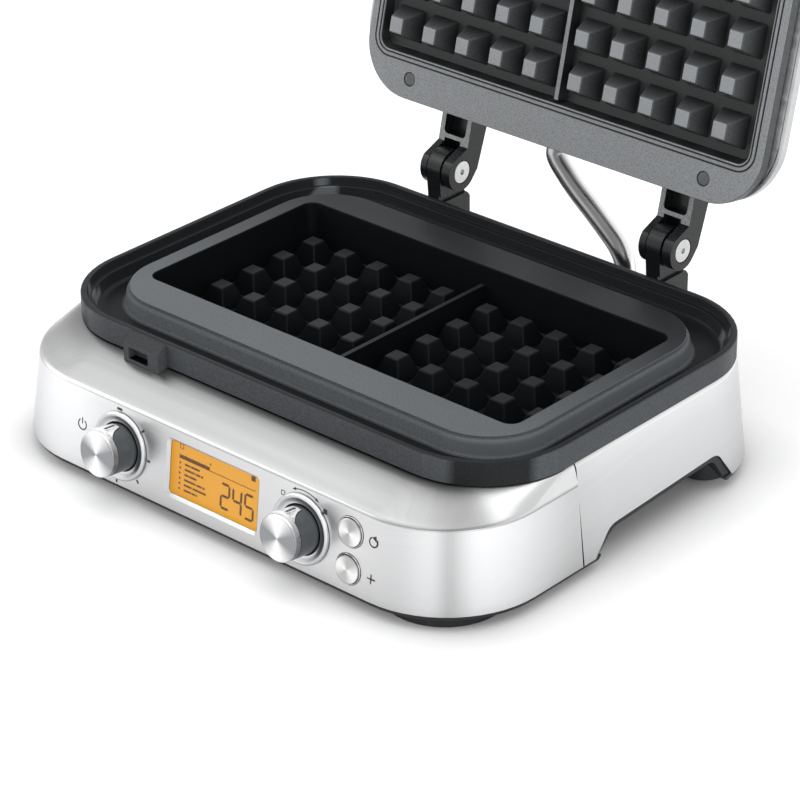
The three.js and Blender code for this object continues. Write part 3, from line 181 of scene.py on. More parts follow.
def smooth(piece, bevel=0.0, segments=2, sharp=28):
    """Softens the edges by a bevel in millimetres and shades the flats flat."""
    if bevel:
        edge = piece.modifiers.new("edge", "BEVEL")
        edge.width, edge.segments, edge.limit_method = bevel / 1000, segments, "ANGLE"
        edge.angle_limit = radians(sharp)
        edge.use_clamp_overlap = True
    piece.data.shade_smooth()
    piece.data.set_sharp_from_angle(angle=radians(sharp + 14 if bevel else sharp))
    even = piece.modifiers.new("even", "WEIGHTED_NORMAL")
    even.keep_sharp = True
    return bake(piece)


def settle(piece, finish, body, slot, *nodes):
    """Gives a finished piece its finish, its body and the CAD nodes that it stands for."""
    if finish:
        piece.data.materials.clear()
        piece.data.materials.append(finish)
    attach(piece, body)
    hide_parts(*nodes)
    return piece


def new_finish(name, colour, metallic=0.0, roughness=0.5, specular=0.5):
    finish = bpy.data.materials.new(name)
    finish.use_nodes = True
    shader = finish.node_tree.nodes["Principled BSDF"]
    feed(shader, {"Base Color": (*colour, 1), "Metallic": metallic, "Roughness": roughness,
                  "Specular IOR Level": specular})
    return finish, finish.node_tree, shader


def feed(step, inputs):
    """Links or sets the inputs of a node, by their names or numbers."""
    for key, value in inputs.items():
        if hasattr(value, "links"):
            step.id_data.links.new(value, step.inputs[key])
        else:
            step.inputs[key].default_value = value
    return step


def node(tree, kind, inputs={}, **settings):
    """A new node with its settings and inputs."""
    step = tree.nodes.new(kind)
    for key, value in settings.items():
        setattr(step, key, value)
    return feed(step, inputs)


def own_place(tree):
    return node(tree, "ShaderNodeTexCoord").outputs["Object"]


def mapped(tree, name):
    return node(tree, "ShaderNodeUVMap", uv_map=name).outputs["UV"]


def speckle(tree, scale, stretch=(1, 1, 1), detail=3.0, source=None, kind="Noise"):
    """A noise on object coordinates, or on the named map of the piece."""
    start = mapped(tree, source) if source else own_place(tree)
    moved = node(tree, "ShaderNodeMapping", {"Vector": start, "Scale": stretch}).outputs["Vector"]
    if kind == "Noise":
        return node(tree, "ShaderNodeTexNoise", {
            "Vector": moved, "Scale": scale, "Detail": detail}).outputs["Fac"]
    return node(tree, "ShaderNodeTexVoronoi", {"Vector": moved, "Scale": scale}).outputs["Distance"]


def ranged(value, low, high, start=0.3, end=0.7):
    """Maps a noise to a range."""
    return node(value.id_data, "ShaderNodeMapRange", {
        "Value": value, "From Min": start, "From Max": end, "To Min": low, "To Max": high}).outputs["Result"]


def tinted(share, dark, light):
    """Mixes two colours by a share. In this node 6 and 7 go in, and 2 comes out."""
    dark, light = (c if hasattr(c, "links") else (*c, 1) for c in (dark, light))
    return node(share.id_data, "ShaderNodeMix", {"Factor": share, 6: dark, 7: light},
                data_type="RGBA").outputs[2]


def paint(shader, share, dark, light):
    """Colours a finish between two colours by a share."""
    feed(shader, {"Base Color": tinted(share, dark, light)})


def dull(shader, value, low, high):
    """Sets how dull a finish is, from a noise."""
    feed(shader, {"Roughness": ranged(value, low, high)})


def relief(shader, height, depth, strength):
    """A bump from a height, with its depth in millimetres."""
    feed(shader, {"Normal": node(shader.id_data, "ShaderNodeBump", {
        "Distance": depth / 1000, "Strength": strength, "Height": height}).outputs["Normal"]})


moulded_black, tree, shader = new_finish("moulded_black", (0.02, 0.021, 0.023), 0.0, 0.5, 0.35)
grain = speckle(tree, 2600, detail=2)
cloud = speckle(tree, 28, detail=4)
paint(shader, cloud, (0.017, 0.018, 0.02), (0.026, 0.028, 0.03))
dull(shader, cloud, 0.44, 0.58)
relief(shader, grain, 0.05, 0.5)

BODY = dict(half=165, front=-132, back=132, radius=57)
TRAY_BOTTOM, STEEL_BOTTOM, LEDGE = 5, 8, 7.7


def arch_view(inset, bottom):
    """Side view of the hand arch, drawn in by an inset."""
    front, back, heel = -28.7 + inset, 84 - inset, 67.4 - inset
    rise = curve((front + 8.7, 16.6), (front + 12.53, 21.2), (-10.8 + inset, 21.2))
    fall = curve((heel, 24.2), (heel + 5.04, 24.2), (heel + 7.2, 21))
    return [(front, bottom), (front, 8 - inset)] + [(y, z - inset) for y, z in rise + fall] + [
        (back, 8 - inset), (back, bottom)]


tray = stack("tray", BODY, (
    (TRAY_BOTTOM, -2.4), (5.15, -1.8), (5.45, -1.35), (5.8, -1.2), (7.4, -1.2), (LEDGE, -1.5)))
join(tray, stack("upstand", BODY, ((7, -3.4), (16, -3.4))))
carve(tray, stack("hollow", BODY, ((7, -5.9), (40, -5.9))),
      block("panel_gap", -97, 112, -160, -116, LEDGE, 40))
join(tray, *(prism("hood", arch_view(0.3, TRAY_BOTTOM), *sorted((s * 130.5, s * 162.4))) for s in (-1, 1)))
carve(tray, *(prism("recess", arch_view(3, -40), *sorted((s * 133, s * 400))) for s in (-1, 1)))
join(tray, *(post("column", 13, x, 83, TRAY_BOTTOM, 21) for x in (-146, 146)))
POST_PLACES = [(x, y) for x in (-114, 114) for y in (-68, 96)]
join(tray, *(post("plate_post", 6.5, x, y, TRAY_BOTTOM, 33.7) for x, y in POST_PLACES))
FEET = ("front", 33, 121, -91), ("rear", 12, 142, 92)
FOOT_PLACES = [(side * x, y) for _, _, x, y in FEET for side in (-1, 1)]
join(tray, *(post("foot_pad", 13, x, y, TRAY_BOTTOM, 12) for x, y in FOOT_PLACES))
# Twelve air slots through the floor stand in two rows under the plate.
carve(tray, *(block("slot", x, x + 5, y, y + 34, -10, 20)
              for x in range(-60, 61, 24) for y in (-20, 40)))
carve(tray, *(post("bore", r, x, y, -10, z1, sides=24) for x, y in POST_PLACES
              for r, z1 in ((2.3, 60), (4.7, 25))))
carve(tray, *(post("socket", 4.3, x, y, -10, 10, sides=32) for x, y in FOOT_PLACES))
settle(smooth(tray, 0.3), moulded_black, "base", "black_plastic", "base_tray")

# Feet. Black rubber pads, each pushed into the tray by a stem: two wide discs under the front corners and
# two small ones behind. One of each is turned here and a node tree sets it in its places.

foot_rubber, tree, shader = new_finish("foot_rubber", (0.018, 0.018, 0.018), 0.0, 0.8)
dust = speckle(tree, 160, detail=5)
paint(shader, dust, (0.012, 0.012, 0.012), (0.035, 0.034, 0.033))
relief(shader, speckle(tree, 1400), 0.08, 0.6)


def new_tree(name, *sockets):
    """A node tree with a mesh in and further inputs of (name, kind, value), and the values by identifier."""
    tree = bpy.data.node_groups.new(name, "GeometryNodeTree")
    for way in ("INPUT", "OUTPUT"):
        tree.interface.new_socket("Geometry", in_out=way, socket_type="NodeSocketGeometry")
    values = {}
    for key, kind, value in sockets:
        socket = tree.interface.new_socket(key, in_out="INPUT", socket_type="NodeSocket" + kind)
        values[socket.identifier] = value
    return tree, node(tree, "NodeGroupInput").outputs, values


def close_tree(piece, tree, last, values, finish):
    """Ends a tree with real geometry and its finish, gives it its values and keeps the plain mesh."""
    real = node(tree, "GeometryNodeRealizeInstances", {"Geometry": last})
    coat = node(tree, "GeometryNodeSetMaterial", {"Geometry": real.outputs["Geometry"], "Material": finish})
    node(tree, "NodeGroupOutput", {"Geometry": coat.outputs["Geometry"]})
    step = piece.modifiers.new("tree", "NODES")
    step.node_group = tree
    for key, value in values.items():
        step[key] = value
    return bake(piece)


def moved(tree, shape, way):
    return node(tree, "GeometryNodeTransform", {"Geometry": shape, "Translation": way}).outputs["Geometry"]


def set_in_places(piece, places, finish):
    """A node tree that sets a copy of the piece at each place, given in metres from where it was made."""
    names = [f"Place {n + 1}" for n in range(len(places))]
    tree, start, values = new_tree(piece.name + "_set", *((n, "Vector", p) for n, p in zip(names, places)))
    every = node(tree, "GeometryNodeJoinGeometry")
    for name in names:
        feed(every, {"Geometry": moved(tree, start["Geometry"], start[name])})
    return close_tree(piece, tree, every.outputs["Geometry"], values, finish)


for name, radius, x, y in FEET:
    feet = smooth(lathe(f"{name}_feet", [
        (0, 0.5), (radius * 0.6, 0.5), (radius * 0.6 + 0.7, 0), (radius - 1.2, 0), (radius - 0.6, 0.15),
        (radius - 0.15, 0.6), (radius, 1.2), (radius, 4.5), (radius - 0.2, 4.7), (4, 4.7), (4, 9.7),
        (0, 9.7)], (0, 0, 0), sides=96))
    set_in_places(feet, [(s * x / 1000, y / 1000, 0.0) for s in (-1, 1)], foot_rubber)
    settle(feet, None, "base", "foot_rubber", f"foot_{name}_left", f"foot_{name}_right")

# Lower plate. One aluminium casting under a dark non-stick coating: rim and skirt, overflow moat, land,
# two pegged wells with a ridge between, and the latch catch. Four screws hold it down from below.


def lay_map(piece, name, rule):
    """Lays a map on the piece. A rule gives its u and v from a corner's place in metres and its face."""
    layer = piece.data.uv_layers.new(name=name)
    for face in piece.data.polygons:
        for index in face.loop_indices:
            corner = piece.data.vertices[piece.data.loops[index].vertex_index].co
            layer.data[index].uv = rule(corner, face)
    return piece


def tone_map(piece, tone):
    """Lays a map called tone: u is the tone that a rule gives from a place in millimetres and a normal."""
    return lay_map(piece, "tone", lambda co, face: (
        tone(co.x * 1000, co.y * 1000 - FRONT_TO_FRAME, co.z * 1000, face.normal), 0.5))


def maths(kind, a, b=0):
    return node(a.id_data, "ShaderNodeMath", {0: a, 1: b}, operation=kind).outputs["Value"]


def part_of(output, axis):
    return node(output.id_data, "ShaderNodeSeparateXYZ", {"Vector": output}).outputs[axis]


def toned(shader, dark, light, grain, spread):
    """Colours a finish between dark and light by the tone map, spread by a grain."""
    tone = part_of(mapped(shader.id_data, "tone"), "X")
    paint(shader, maths("MULTIPLY", tone, ranged(grain, 1 - spread, 1 + spread)), dark, light)


dark_coating, tree, shader = new_finish("dark_coating", (0.018, 0.02, 0.022), 0.0, 0.4, 0.09)
grain = speckle(tree, 1500, detail=3)
cloud = speckle(tree, 18, detail=4)
# Painted light and shade: the tone map, from the plate's rule below, sets how pale the coating is painted.
toned(shader, (0.003, 0.0036, 0.0042), (0.2, 0.214, 0.228), grain, 0.3)
dull(shader, cloud, 0.34, 0.44)
relief(shader, grain, 0.05, 0.55)


def plate_painted_light(x, y, z, normal):
    """Painted light and shade on the coating: flat tops painted paler towards the front and darker towards
    the back, faces turned to the right and the front painted lighter (most of all on the land's shoulder),
    and the wells and the moat painted near black as shade.
    """
    if abs(x) < 127.8 and -49 < y < 80.2 and z < 76.65:
        return 0.09 if normal.z > 0.9 and z > 55 else 0.015
    if normal.z > 0.85 and z > 76.1:
        near, far = min(max((20 - y) / 70, 0), 1), min(max((y - 50) / 35, 0), 1)
        return 0.3 + 0.4 * near - 0.2 * far if z > 76.6 else 0.09
    side = 0.5 * max(normal.x, 0) + 0.4 * max(-normal.y, 0) + 0.15 * max(-normal.x, normal.y, 0)
    if abs(x) > 155 or y < -94 or y > 124:
        return side
    near_land = abs(x) < 144 and -78.5 < y < 108
    return side * 2.2 if near_land and z > 66.5 else 0.02 + side * 0.15


RIM = dict(half=158.2, front=-97.1, back=127.6, radius=52.7)
LAND = dict(half=136.5, front=-71.1, back=100.5, radius=33.7)
WELL = dict(half=126.7, front=-47.8, back=79.1, radius=6.8)
RIM_TOP, LAND_TOP, MOAT_FLOOR, WELL_FLOOR = 76.5, 76.7, 65.5, 50.5


def mixed(low, high, share):
    """A shape between two rounded shapes."""
    return {key: low[key] + (high[key] - low[key]) * share for key in low}


def widened(piece, above, share):
    """Widens or narrows what lies above a height in metres."""
    for v in piece.data.vertices:
        if v.co.z > above:
            v.co.x *= share
    return piece


plate = stack("plate", RIM, (
    (62, -8), (63.3, -4.5), (63.3, -0.3), (63.6, 0), (75.3, 0), (75.9, -0.15), (76.3, -0.5), (RIM_TOP, -1.1),
    (LAND_TOP, -1.1)))
moat = rings_of(RIM, (
    (80, 3.4), (76.5, 3.4), (76.5, -2.9), (76.3, -3.4), (75.9, -3.7), (73, -4.2), (72.4, -4.6), (72.2, -6.2),
    (71.8, -6.8), (67.6, -8), (66.4, -8.9), (65.8, -10.6)))
moat += rings_of(mixed(LAND, RIM, 0.5), [(MOAT_FLOOR, 0)]) + rings_of(LAND, (
    (65.8, 4.6), (66.6, 3.2), (68, 2.4), (72.6, 1.9), (74, 1.5), (74.9, 0.9), (75.2, 0.2), (75.4, -0.2),
    (75.9, -0.2), (76.1, 0), (76.5, 0), (76.7, -0.2), (80, -0.2)))
well_walls = stack("well_walls", WELL, ((45.5, 1.3), (62.8, 4.5)))
well = stack("well", WELL, (
    (50.5, -5.6), (50.9, -4.2), (51.9, -3.3), (75.9, -0.1), (76.5, 0.3), (76.7, 0.8), (80, 0.8)))
RIDGE_FOOT, RIDGE_TIP = 3.4, 1.3
ridge = widened(block("ridge", -RIDGE_FOOT, RIDGE_FOOT, -52.3, 83.6, 49.5, 66), 0.06, RIDGE_TIP / RIDGE_FOOT)
catch = prism("catch", [
    (-96.3, 62.9), (-98.5, 62.5), (-103.3, 61.3), (-103.3, 72), (-97.4, 76.2), (-96.3, 76.2)], -87.8, -62.8)
catch_slot = block("catch_slot", -84.2, -70.2, -110, -98.5, 63.5, 70)
join(plate, well_walls, catch, *(post("leg", 4.5, x, y, 35.3, 63) for x, y in POST_PLACES))
carve(plate, loft("moat", moat, closed=True), carve(well, ridge), catch_slot,
      *(post("leg_bore", 1.9, x, y, 0, 51, sides=24) for x, y in POST_PLACES),
      block("pocket", -105, 105, -67.6, -55.8, 60, 73.2), block("pocket", -105, 105, 87.1, 97, 60, 73.2))
settle(tone_map(smooth(plate, 0.35), plate_painted_light), dark_coating, "base", "plate_coating", "lower_plate")

PEG_PITCH, PEG_FRONT = 23.87, -32.1


def peg_grid(name, foot, height, finish):
    """A node tree that stands square pegs with a draft in two grids of five by five."""
    tree, start, values = new_tree(name, *((key, "Float", size / 1000) for key, size in (
        ("Pitch", PEG_PITCH), ("Top width", 9.0), ("Base width", 19.0), ("Height", height), ("First", 111.0),
        ("Front", PEG_FRONT + FRONT_TO_FRAME), ("Foot", foot))), ("Across", "Int", 5))
    # A cone with four sides is a peg, and its radius runs to a corner.
    peg = node(tree, "GeometryNodeMeshCone", {
        "Vertices": 4, "Radius Top": maths("MULTIPLY", start["Top width"], 2 ** -0.5),
        "Radius Bottom": maths("MULTIPLY", start["Base width"], 2 ** -0.5), "Depth": start["Height"]})
    square = node(tree, "GeometryNodeTransform", {
        "Geometry": peg.outputs["Mesh"], "Rotation": (0, 0, pi / 4)})
    span = maths("MULTIPLY", maths("SUBTRACT", start["Across"], 1), start["Pitch"])
    half = maths("MULTIPLY", span, 0.5)
    grid = node(tree, "GeometryNodeMeshGrid", {
        "Size X": span, "Size Y": span, "Vertices X": start["Across"], "Vertices Y": start["Across"]})
    both = node(tree, "GeometryNodeJoinGeometry")
    for side in (-1, 1):
        spot = node(tree, "ShaderNodeCombineXYZ", {
            "X": maths("MULTIPLY", maths("SUBTRACT", start["First"], half), side),
            "Y": maths("ADD", start["Front"], half), "Z": start["Foot"]})
        feed(both, {"Geometry": moved(tree, grid.outputs["Mesh"], spot.outputs["Vector"])})
    stand = node(tree, "GeometryNodeInstanceOnPoints", {
        "Points": both.outputs["Geometry"], "Instance": square.outputs["Geometry"]})
    return close_tree(to_object(name, [(0, 0, 0)]), tree, stand.outputs["Instances"], values, finish)


pegs = smooth(peg_grid("lower_pegs", WELL_FLOOR - 1, 13, dark_coating), 0.8, 3)
# The pegs take the same painted light and shade as the plate.
settle(tone_map(pegs, plate_painted_light), None, "base", "plate_coating")

# Steel shells. Two pressed and brushed sheets that meet at a seam in each side: the front one makes the
# control panel and the sloping deck, the rear one the sides, the back and the two hand arches.


def graded(value, stops, way="LINEAR"):
    """Greys along a value in metres, from stops of (millimetres, grey)."""
    low, high = stops[0][0], stops[-1][0]
    ramp = node(value.id_data, "ShaderNodeValToRGB", {"Fac": ranged(value, 0, 1, low / 1000, high / 1000)})
    ramp.color_ramp.interpolation = way
    for _ in stops[2:]:
        ramp.color_ramp.elements.new(0.5)
    for element, (where, grey) in zip(ramp.color_ramp.elements, stops):
        element.position = (where - low) / (high - low)
        element.color = (grey, grey, grey, 1)
    return ramp.outputs["Color"]


def blended(share, low, high):
    """A number between two numbers by a share. In this node 2 and 3 go in, and 0 comes out."""
    return node(share.id_data, "ShaderNodeMix", {"Factor": share, 2: low, 3: high}).outputs[0]


# Painted reflection: along the wall the satin sheet's colour goes through soft light and dark bands, as bent
# sheet shows in a bright room.
# The last, near black stop is painted shade for the seam.
WALL_PAINTED_BANDS = [
    (-230, 0.65), (-140, 0.65), (-120, 0.84), (-100, 0.86), (-82, 0.75), (-40, 0.59), (0, 0.63),
    (40, 0.63), (70, 0.7), (100, 0.69), (114, 0.61), (126, 0.61), (135, 0.71), (142, 0.72), (146, 0.61),
    (150, 0.47), (155, 0.58), (163, 0.84), (176, 0.83), (192, 0.78), (206, 0.73), (222, 0.61),
    (236, 0.57), (254, 0.64), (310, 0.68), (420, 0.67), (440, 0.03)]
DECK_PAINTED_BANDS = [
    (-230, 0.26), (-185, 0.3), (-165, 0.36), (-148, 0.42), (-130, 0.48), (-112, 0.51), (-60, 0.5),
    (30, 0.47), (80, 0.46), (115, 0.4), (135, 0.34), (148, 0.25), (160, 0.23), (171, 0.27), (180, 0.55),
    (195, 0.63), (230, 0.63)]
# Painted light and shade by height. The walls are painted darker towards their foot, with a painted dark
# line under the fold. The rear walls are lighter at the top. The deck has a painted highlight along the fold
# and is painted darker towards the plate.
WALL_PAINTED_RISE = [
    (8, 0.8), (13, 0.88), (28, 0.95), (45, 1), (51.5, 1), (51.7, 0.66), (52.3, 0.66), (52.5, 1), (63, 1)]
REAR_PAINTED_RISE = [(8, 0.82), (16, 0.9), (30, 0.96), (48, 1), (60, 1.08), (63, 1.1)]
FOLD_Z, DECK_Z = 52.4, 62.4
DECK_PAINTED_RISE = [(52, 1.1), (53.8, 1.06), (55.2, 1), (57.5, 0.96), (59.5, 0.86), (61.1, 0.72), (62.6, 0.62)]


def turned_shine(shader, strength, name):
    """Draws the highlights out across the grain, which runs along the u of a map."""
    way = node(shader.id_data, "ShaderNodeTangent", direction_type="UV_MAP", uv_map=name)
    feed(shader, {"Anisotropic": strength, "Tangent": way.outputs["Tangent"]})


def steel_finish(name, with_deck):
    """Brushed sheet on the map called brush, with painted bands of reflected light and shade and the finer
    marks of brushing.
    """
    finish, tree, shader = new_finish(name, (0.7, 0.7, 0.71), 1.0, 0.3)
    along = part_of(mapped(tree, "brush"), "X")
    height = part_of(own_place(tree), "Z")
    shade = graded(along, WALL_PAINTED_BANDS, "B_SPLINE")
    if with_deck:
        shade = maths("MULTIPLY", shade, graded(height, WALL_PAINTED_RISE))
        fade = blended(ranged(along, 1, 0, 0.142, 0.166), 1, graded(height, DECK_PAINTED_RISE))
        deck = maths("MULTIPLY", graded(along, DECK_PAINTED_BANDS, "B_SPLINE"), fade)
        shade = blended(ranged(height, 0, 1, FOLD_Z / 1000 - 0.0001, FOLD_Z / 1000), shade, deck)
    else:
        shade = maths("MULTIPLY", shade, graded(height, REAR_PAINTED_RISE))
    brush = speckle(tree, 1, (6, 5200, 1), detail=3, source="brush")
    broad = speckle(tree, 1, (3, 160, 1), detail=4, source="brush")
    shade = maths("MULTIPLY", shade, ranged(brush, 0.95, 1.04, 0.25, 0.75))
    paint(shader, shade, (0, 0, 0), (1, 1.004, 1.008))
    dull(shader, broad, 0.27, 0.37)
    relief(shader, brush, 0.02, 0.3)
    turned_shine(shader, 0.55, "brush")
    return finish


front_steel, rear_steel = steel_finish("front_steel", True), steel_finish("rear_steel", False)

BACK_TOP, SEAM_Y, SEAM_HALF = 128, -38, 0.55
FOLD = dict(half=160.7, front=-126.8, back=128.8, radius=54.85)
DECK = dict(half=157.9, front=-98.5, back=BACK_TOP, radius=52.7)
REAR = dict(half=158.3, front=-98.5, back=BACK_TOP, radius=52.7)


def shell_rings(outer):
    """A sheet 2 mm thick from its outer rings, with the lip that the plate rests over."""
    brow = rings_of(RIM, ((63, -1), (63, -3.7), (61, -3.7)))
    inner = [rounded(**shape, z=z - 1.3 if n else z, grow=-2) for n, (shape, z) in enumerate(outer)]
    return [rounded(**shape, z=z) for shape, z in outer] + brow + inner[::-1]


def along_sheet(co, face):
    """A map's rule: u runs from the middle of the front round to the back, and v climbs the sheet."""
    turn = BODY["radius"] / 1000
    side, straight = BODY["back"] / 1000 - turn, BODY["half"] / 1000 - turn
    x, y = co.x, co.y - FRONT_TO_FRAME / 1000
    climb = co.z + 0.4 * max(-y, 0)
    # The cut edges of the sheets at the seam are painted dark as shade: their u lies past the last band,
    # which is near black.
    if abs(face.normal.y) > 0.9 and abs(face.center.y * 1000 - FRONT_TO_FRAME - SEAM_Y) < 1:
        return 0.5, climb
    if abs(y) <= side:
        u = straight + turn * pi / 2 + y + side
    else:
        corner = turn * atan2(max(abs(x) - straight, 0), abs(y) - side)
        u = straight + corner if abs(x) > straight else abs(x)
        u = u if y < 0 else 2 * (straight + side) + turn * pi - u
    return (u if x > 0 else -u), climb


def sheet_piece(shell, bevel, sharp, finish, node_name):
    lay_map(smooth(shell, bevel, sharp=sharp), "brush", along_sheet)
    return settle(shell, finish, "base", "brushed_steel", node_name)


front_outer = [(BODY, STEEL_BOTTOM), (mixed(BODY, FOLD, 0.975), 51.3), (mixed(BODY, FOLD, 1.0), 51.9),
               (mixed(BODY, FOLD, 1.06), 52.15), (mixed(BODY, FOLD, 1.04), 52.5)]
front_outer += [(mixed(FOLD, DECK, a), FOLD_Z + (DECK_Z - FOLD_Z) * b) for a, b in (
    (0.03, 0.075), (0.07, 0.135), (0.14, 0.2), (0.25, 0.3), (0.4, 0.455), (0.55, 0.61), (0.7, 0.755),
    (0.85, 0.885), (0.94, 0.96), (1, 1))]
front_shell = loft("front_panel", shell_rings(front_outer), closed=True)

UP, OUT = Vector((0, 0.116322, 0.993212)), Vector((0, -0.993212, 0.116322))


def panel(x, up, out):
    """A place on the control panel: across, up its face and out of it."""
    return at(x, BODY["front"], STEEL_BOTTOM) + (UP * up + OUT * out) / 1000


MENU_X, BROWNING_X, KNOB_UP, BUTTON_X, BUTTON_UPS = -64.9, 61.8, 22.1, 93.5, (32.1, 12.4)
DIALS = ("menu", MENU_X), ("browning", BROWNING_X)
carve(front_shell, block("behind", -400, 400, SEAM_Y - SEAM_HALF, 400, -50, 200),
      loft("window", [rounded(30.7, 8.3, 37.4, 1.6, n, g, 6, panel) for n, g in (
          (-6, 0), (-1.5, 0), (-1.1, 0.12), (-0.3, 1.3), (0, 1.6), (0.1, 1.7), (6, 1.7))]),
      *(rod("knob_hole", 14.1, -6, 6, (x, KNOB_UP, 0), panel) for _, x in DIALS),
      *(rod("button_hole", 8.4, -6, 6, (BUTTON_X, up, 0), panel) for up in BUTTON_UPS))
sheet_piece(front_shell, 0.25, 40, front_steel, "front_shell")

rear_outer = [(mixed(BODY, REAR, s), STEEL_BOTTOM + (DECK_Z - STEEL_BOTTOM) * s) for s in (0, 0.5, 0.965)]
rear_outer.append((mixed(BODY, REAR, 1.1), DECK_Z))
rear_shell = loft("rear_housing", shell_rings(rear_outer), closed=True)
HINGE_X = 77.2
SIDES = ("left", -HINGE_X), ("right", HINGE_X)
CORD_PLACE, BOX_PLACE = (-95, 0, 25), (42, 0, 44)
carve(rear_shell, block("before", -400, 400, -400, SEAM_Y + SEAM_HALF, -50, 200),
      prism("arches", arch_view(0, -40), -400, 400),
      rod("gland_hole", 7.8, 60, 200, CORD_PLACE, along="y"),
      rod("spigot_hole", 6.3, 60, 200, BOX_PLACE, along="y"),
      *(block("tenon_hole", x - 4.3, x + 4.3, 60, 200, 41.7, 50.3) for _, x in SIDES))
sheet_piece(rear_shell, 0.3, 28, rear_steel, "rear_shell")

# Inner works of the base. The plate's heater and its bright shield, the control carrier with the two
# circuit boards, switches and display body, and the long screws that clamp the plate to the tray.

heater_steel, tree, shader = new_finish("heater_steel", (0.33, 0.31, 0.29), 1.0, 0.42)
heat = speckle(tree, 22, detail=3)
paint(shader, heat, (0.22, 0.19, 0.17), (0.42, 0.37, 0.32))
dull(shader, speckle(tree, 900), 0.34, 0.5)

bare_sheet, tree, shader = new_finish("bare_sheet", (0.62, 0.62, 0.62), 1.0, 0.32)
rolled = speckle(tree, 30, (1, 40, 1))
paint(shader, rolled, (0.52, 0.52, 0.53), (0.7, 0.7, 0.7))
dull(shader, rolled, 0.26, 0.42)

board_green, tree, shader = new_finish("board_green", (0.02, 0.09, 0.045), 0.0, 0.38)
traces = speckle(tree, 520, kind="Cells")
paint(shader, ranged(traces, 0, 1, 0.28, 0.36), (0.014, 0.06, 0.03), (0.03, 0.13, 0.06))
relief(shader, traces, 0.04, 0.5)

bright_steel, tree, shader = new_finish("bright_steel", (0.6, 0.6, 0.61), 1.0, 0.24)
wipe = speckle(tree, 240, detail=5)
dull(shader, wipe, 0.16, 0.34)
paint(shader, wipe, (0.45, 0.455, 0.46), (0.72, 0.72, 0.72))

for finish, names in (
        (heater_steel, ("lower_element", "upper_element")),
        (bare_sheet, ("lower_heat_shield", "upper_heat_shield", "lid_frame")),
        (board_green, ("control_board", "power_board")),
        (moulded_black, ("control_carrier", "display_module", "menu_switch", "browning_control",
                         "upper_button_switch", "lower_button_switch")),
        (bright_steel, [f"plate_screw_{n}" for n in (1, 2, 3, 4)])):
    for name in names:
        kit[name].data.materials[0] = finish

# Display. An amber backlit panel with dark figures lies under a clear pane, set back in the steel. It
# shows three large figures, a bar with marks, and rows of short strokes.

amber_panel, tree, shader = new_finish("amber_panel", (0.1, 0.04, 0.004), 0.0, 0.5, 0.1)
glow = ranged(speckle(tree, 14, detail=1), 0.0, 1.0)
feed(shader, {"Emission Color": tinted(glow, (0.78, 0.34, 0.018), (0.87, 0.42, 0.034)),
              "Emission Strength": 0.86})
dark_figures, tree, shader = new_finish("dark_figures", (0.1, 0.035, 0.008), 0.0, 0.6, 0.1)
paint(shader, speckle(tree, 700), (0.13, 0.045, 0.006), (0.19, 0.07, 0.012))
clear_pane, tree, shader = new_finish("clear_pane", (1, 1, 1), 0.0, 0.03)
feed(shader, {"Transmission Weight": 1.0, "IOR": 1.25})
dull(shader, speckle(tree, 90), 0.01, 0.05)

PANE_FRONT, PANE_BACK = -2.3, -4.1
pane = loft("display_pane", [rounded(32.7, 6.3, 39.4, 2, n, steps=5, place=panel)
                             for n in (PANE_BACK, PANE_FRONT)])
settle(smooth(pane, 0.2), clear_pane, "base", "display_glass", "display_glass")
screen = loft("display_screen", [rounded(32.4, 6.6, 39.1, 2, n, steps=5, place=panel)
                                 for n in (PANE_BACK - 0.28, PANE_BACK - 0.12)])
settle(smooth(screen), amber_panel, "base", "display_glass")


def bar(x0, x1, u0, u1):
    return [(x0, u0), (x1, u0), (x1, u1), (x0, u1)]


def hollow_square(x0, x1, u0, u1, line, gap=0.05):
    """Four bars round a square, a hair apart so that no two share an edge."""
    low, high = u0 + line + gap, u1 - line - gap
    return [bar(x0, x1, u0, u0 + line), bar(x0, x1, u1 - line, u1), bar(x0, x0 + line, low, high),
            bar(x1 - line, x1, low, high)]


def drawn(name, shapes, low, high, finish):
    """One thin piece from many flat shapes, each an outline of (x, up) points."""
    points, faces = [], []
    for shape in shapes:
        first, count = len(points), len(shape)
        points += [panel(x, u, n) for n in (low, high) for x, u in shape]
        faces += [tuple(range(first, first + count)), tuple(range(first + count, first + 2 * count))]
        faces += [(first + i, first + (i + 1) % count, first + count + (i + 1) % count, first + count + i)
                  for i in range(count)]
    return settle(smooth(outward(to_object(name, points, faces))), finish, "base", "black_plastic")


SEGMENTS = {"a": (0, 2, 1, 2), "b": (1, 1, 1, 2), "c": (1, 0, 1, 1), "d": (0, 0, 1, 0), "e": (0, 0, 0, 1),
            "f": (0, 1, 0, 2), "g": (0, 1, 1, 1)}
FIGURES = {"2": "abged", "4": "fgbc", "5": "afgcd"}


def seven_segments(figure, x, u, wide=5.6, tall=13.2, stroke=1.35):
    """The bars of one figure, each with pointed ends."""
    shapes, half, clear = [], stroke / 2, 0.14
    for key in FIGURES[figure]:
        c0, r0, c1, r1 = SEGMENTS[key]
        start = Vector((x + c0 * wide, u + r0 * tall / 2))
        end = Vector((x + c1 * wide, u + r1 * tall / 2))
        along = (end - start).normalized()
        side = Vector((-along.y, along.x)) * half
        near, far, slant = start + along * clear, end - along * clear, along * half
        shapes.append([near, near + slant - side, far - slant - side, far, far - slant + side,
                       near + slant + side])
    return shapes


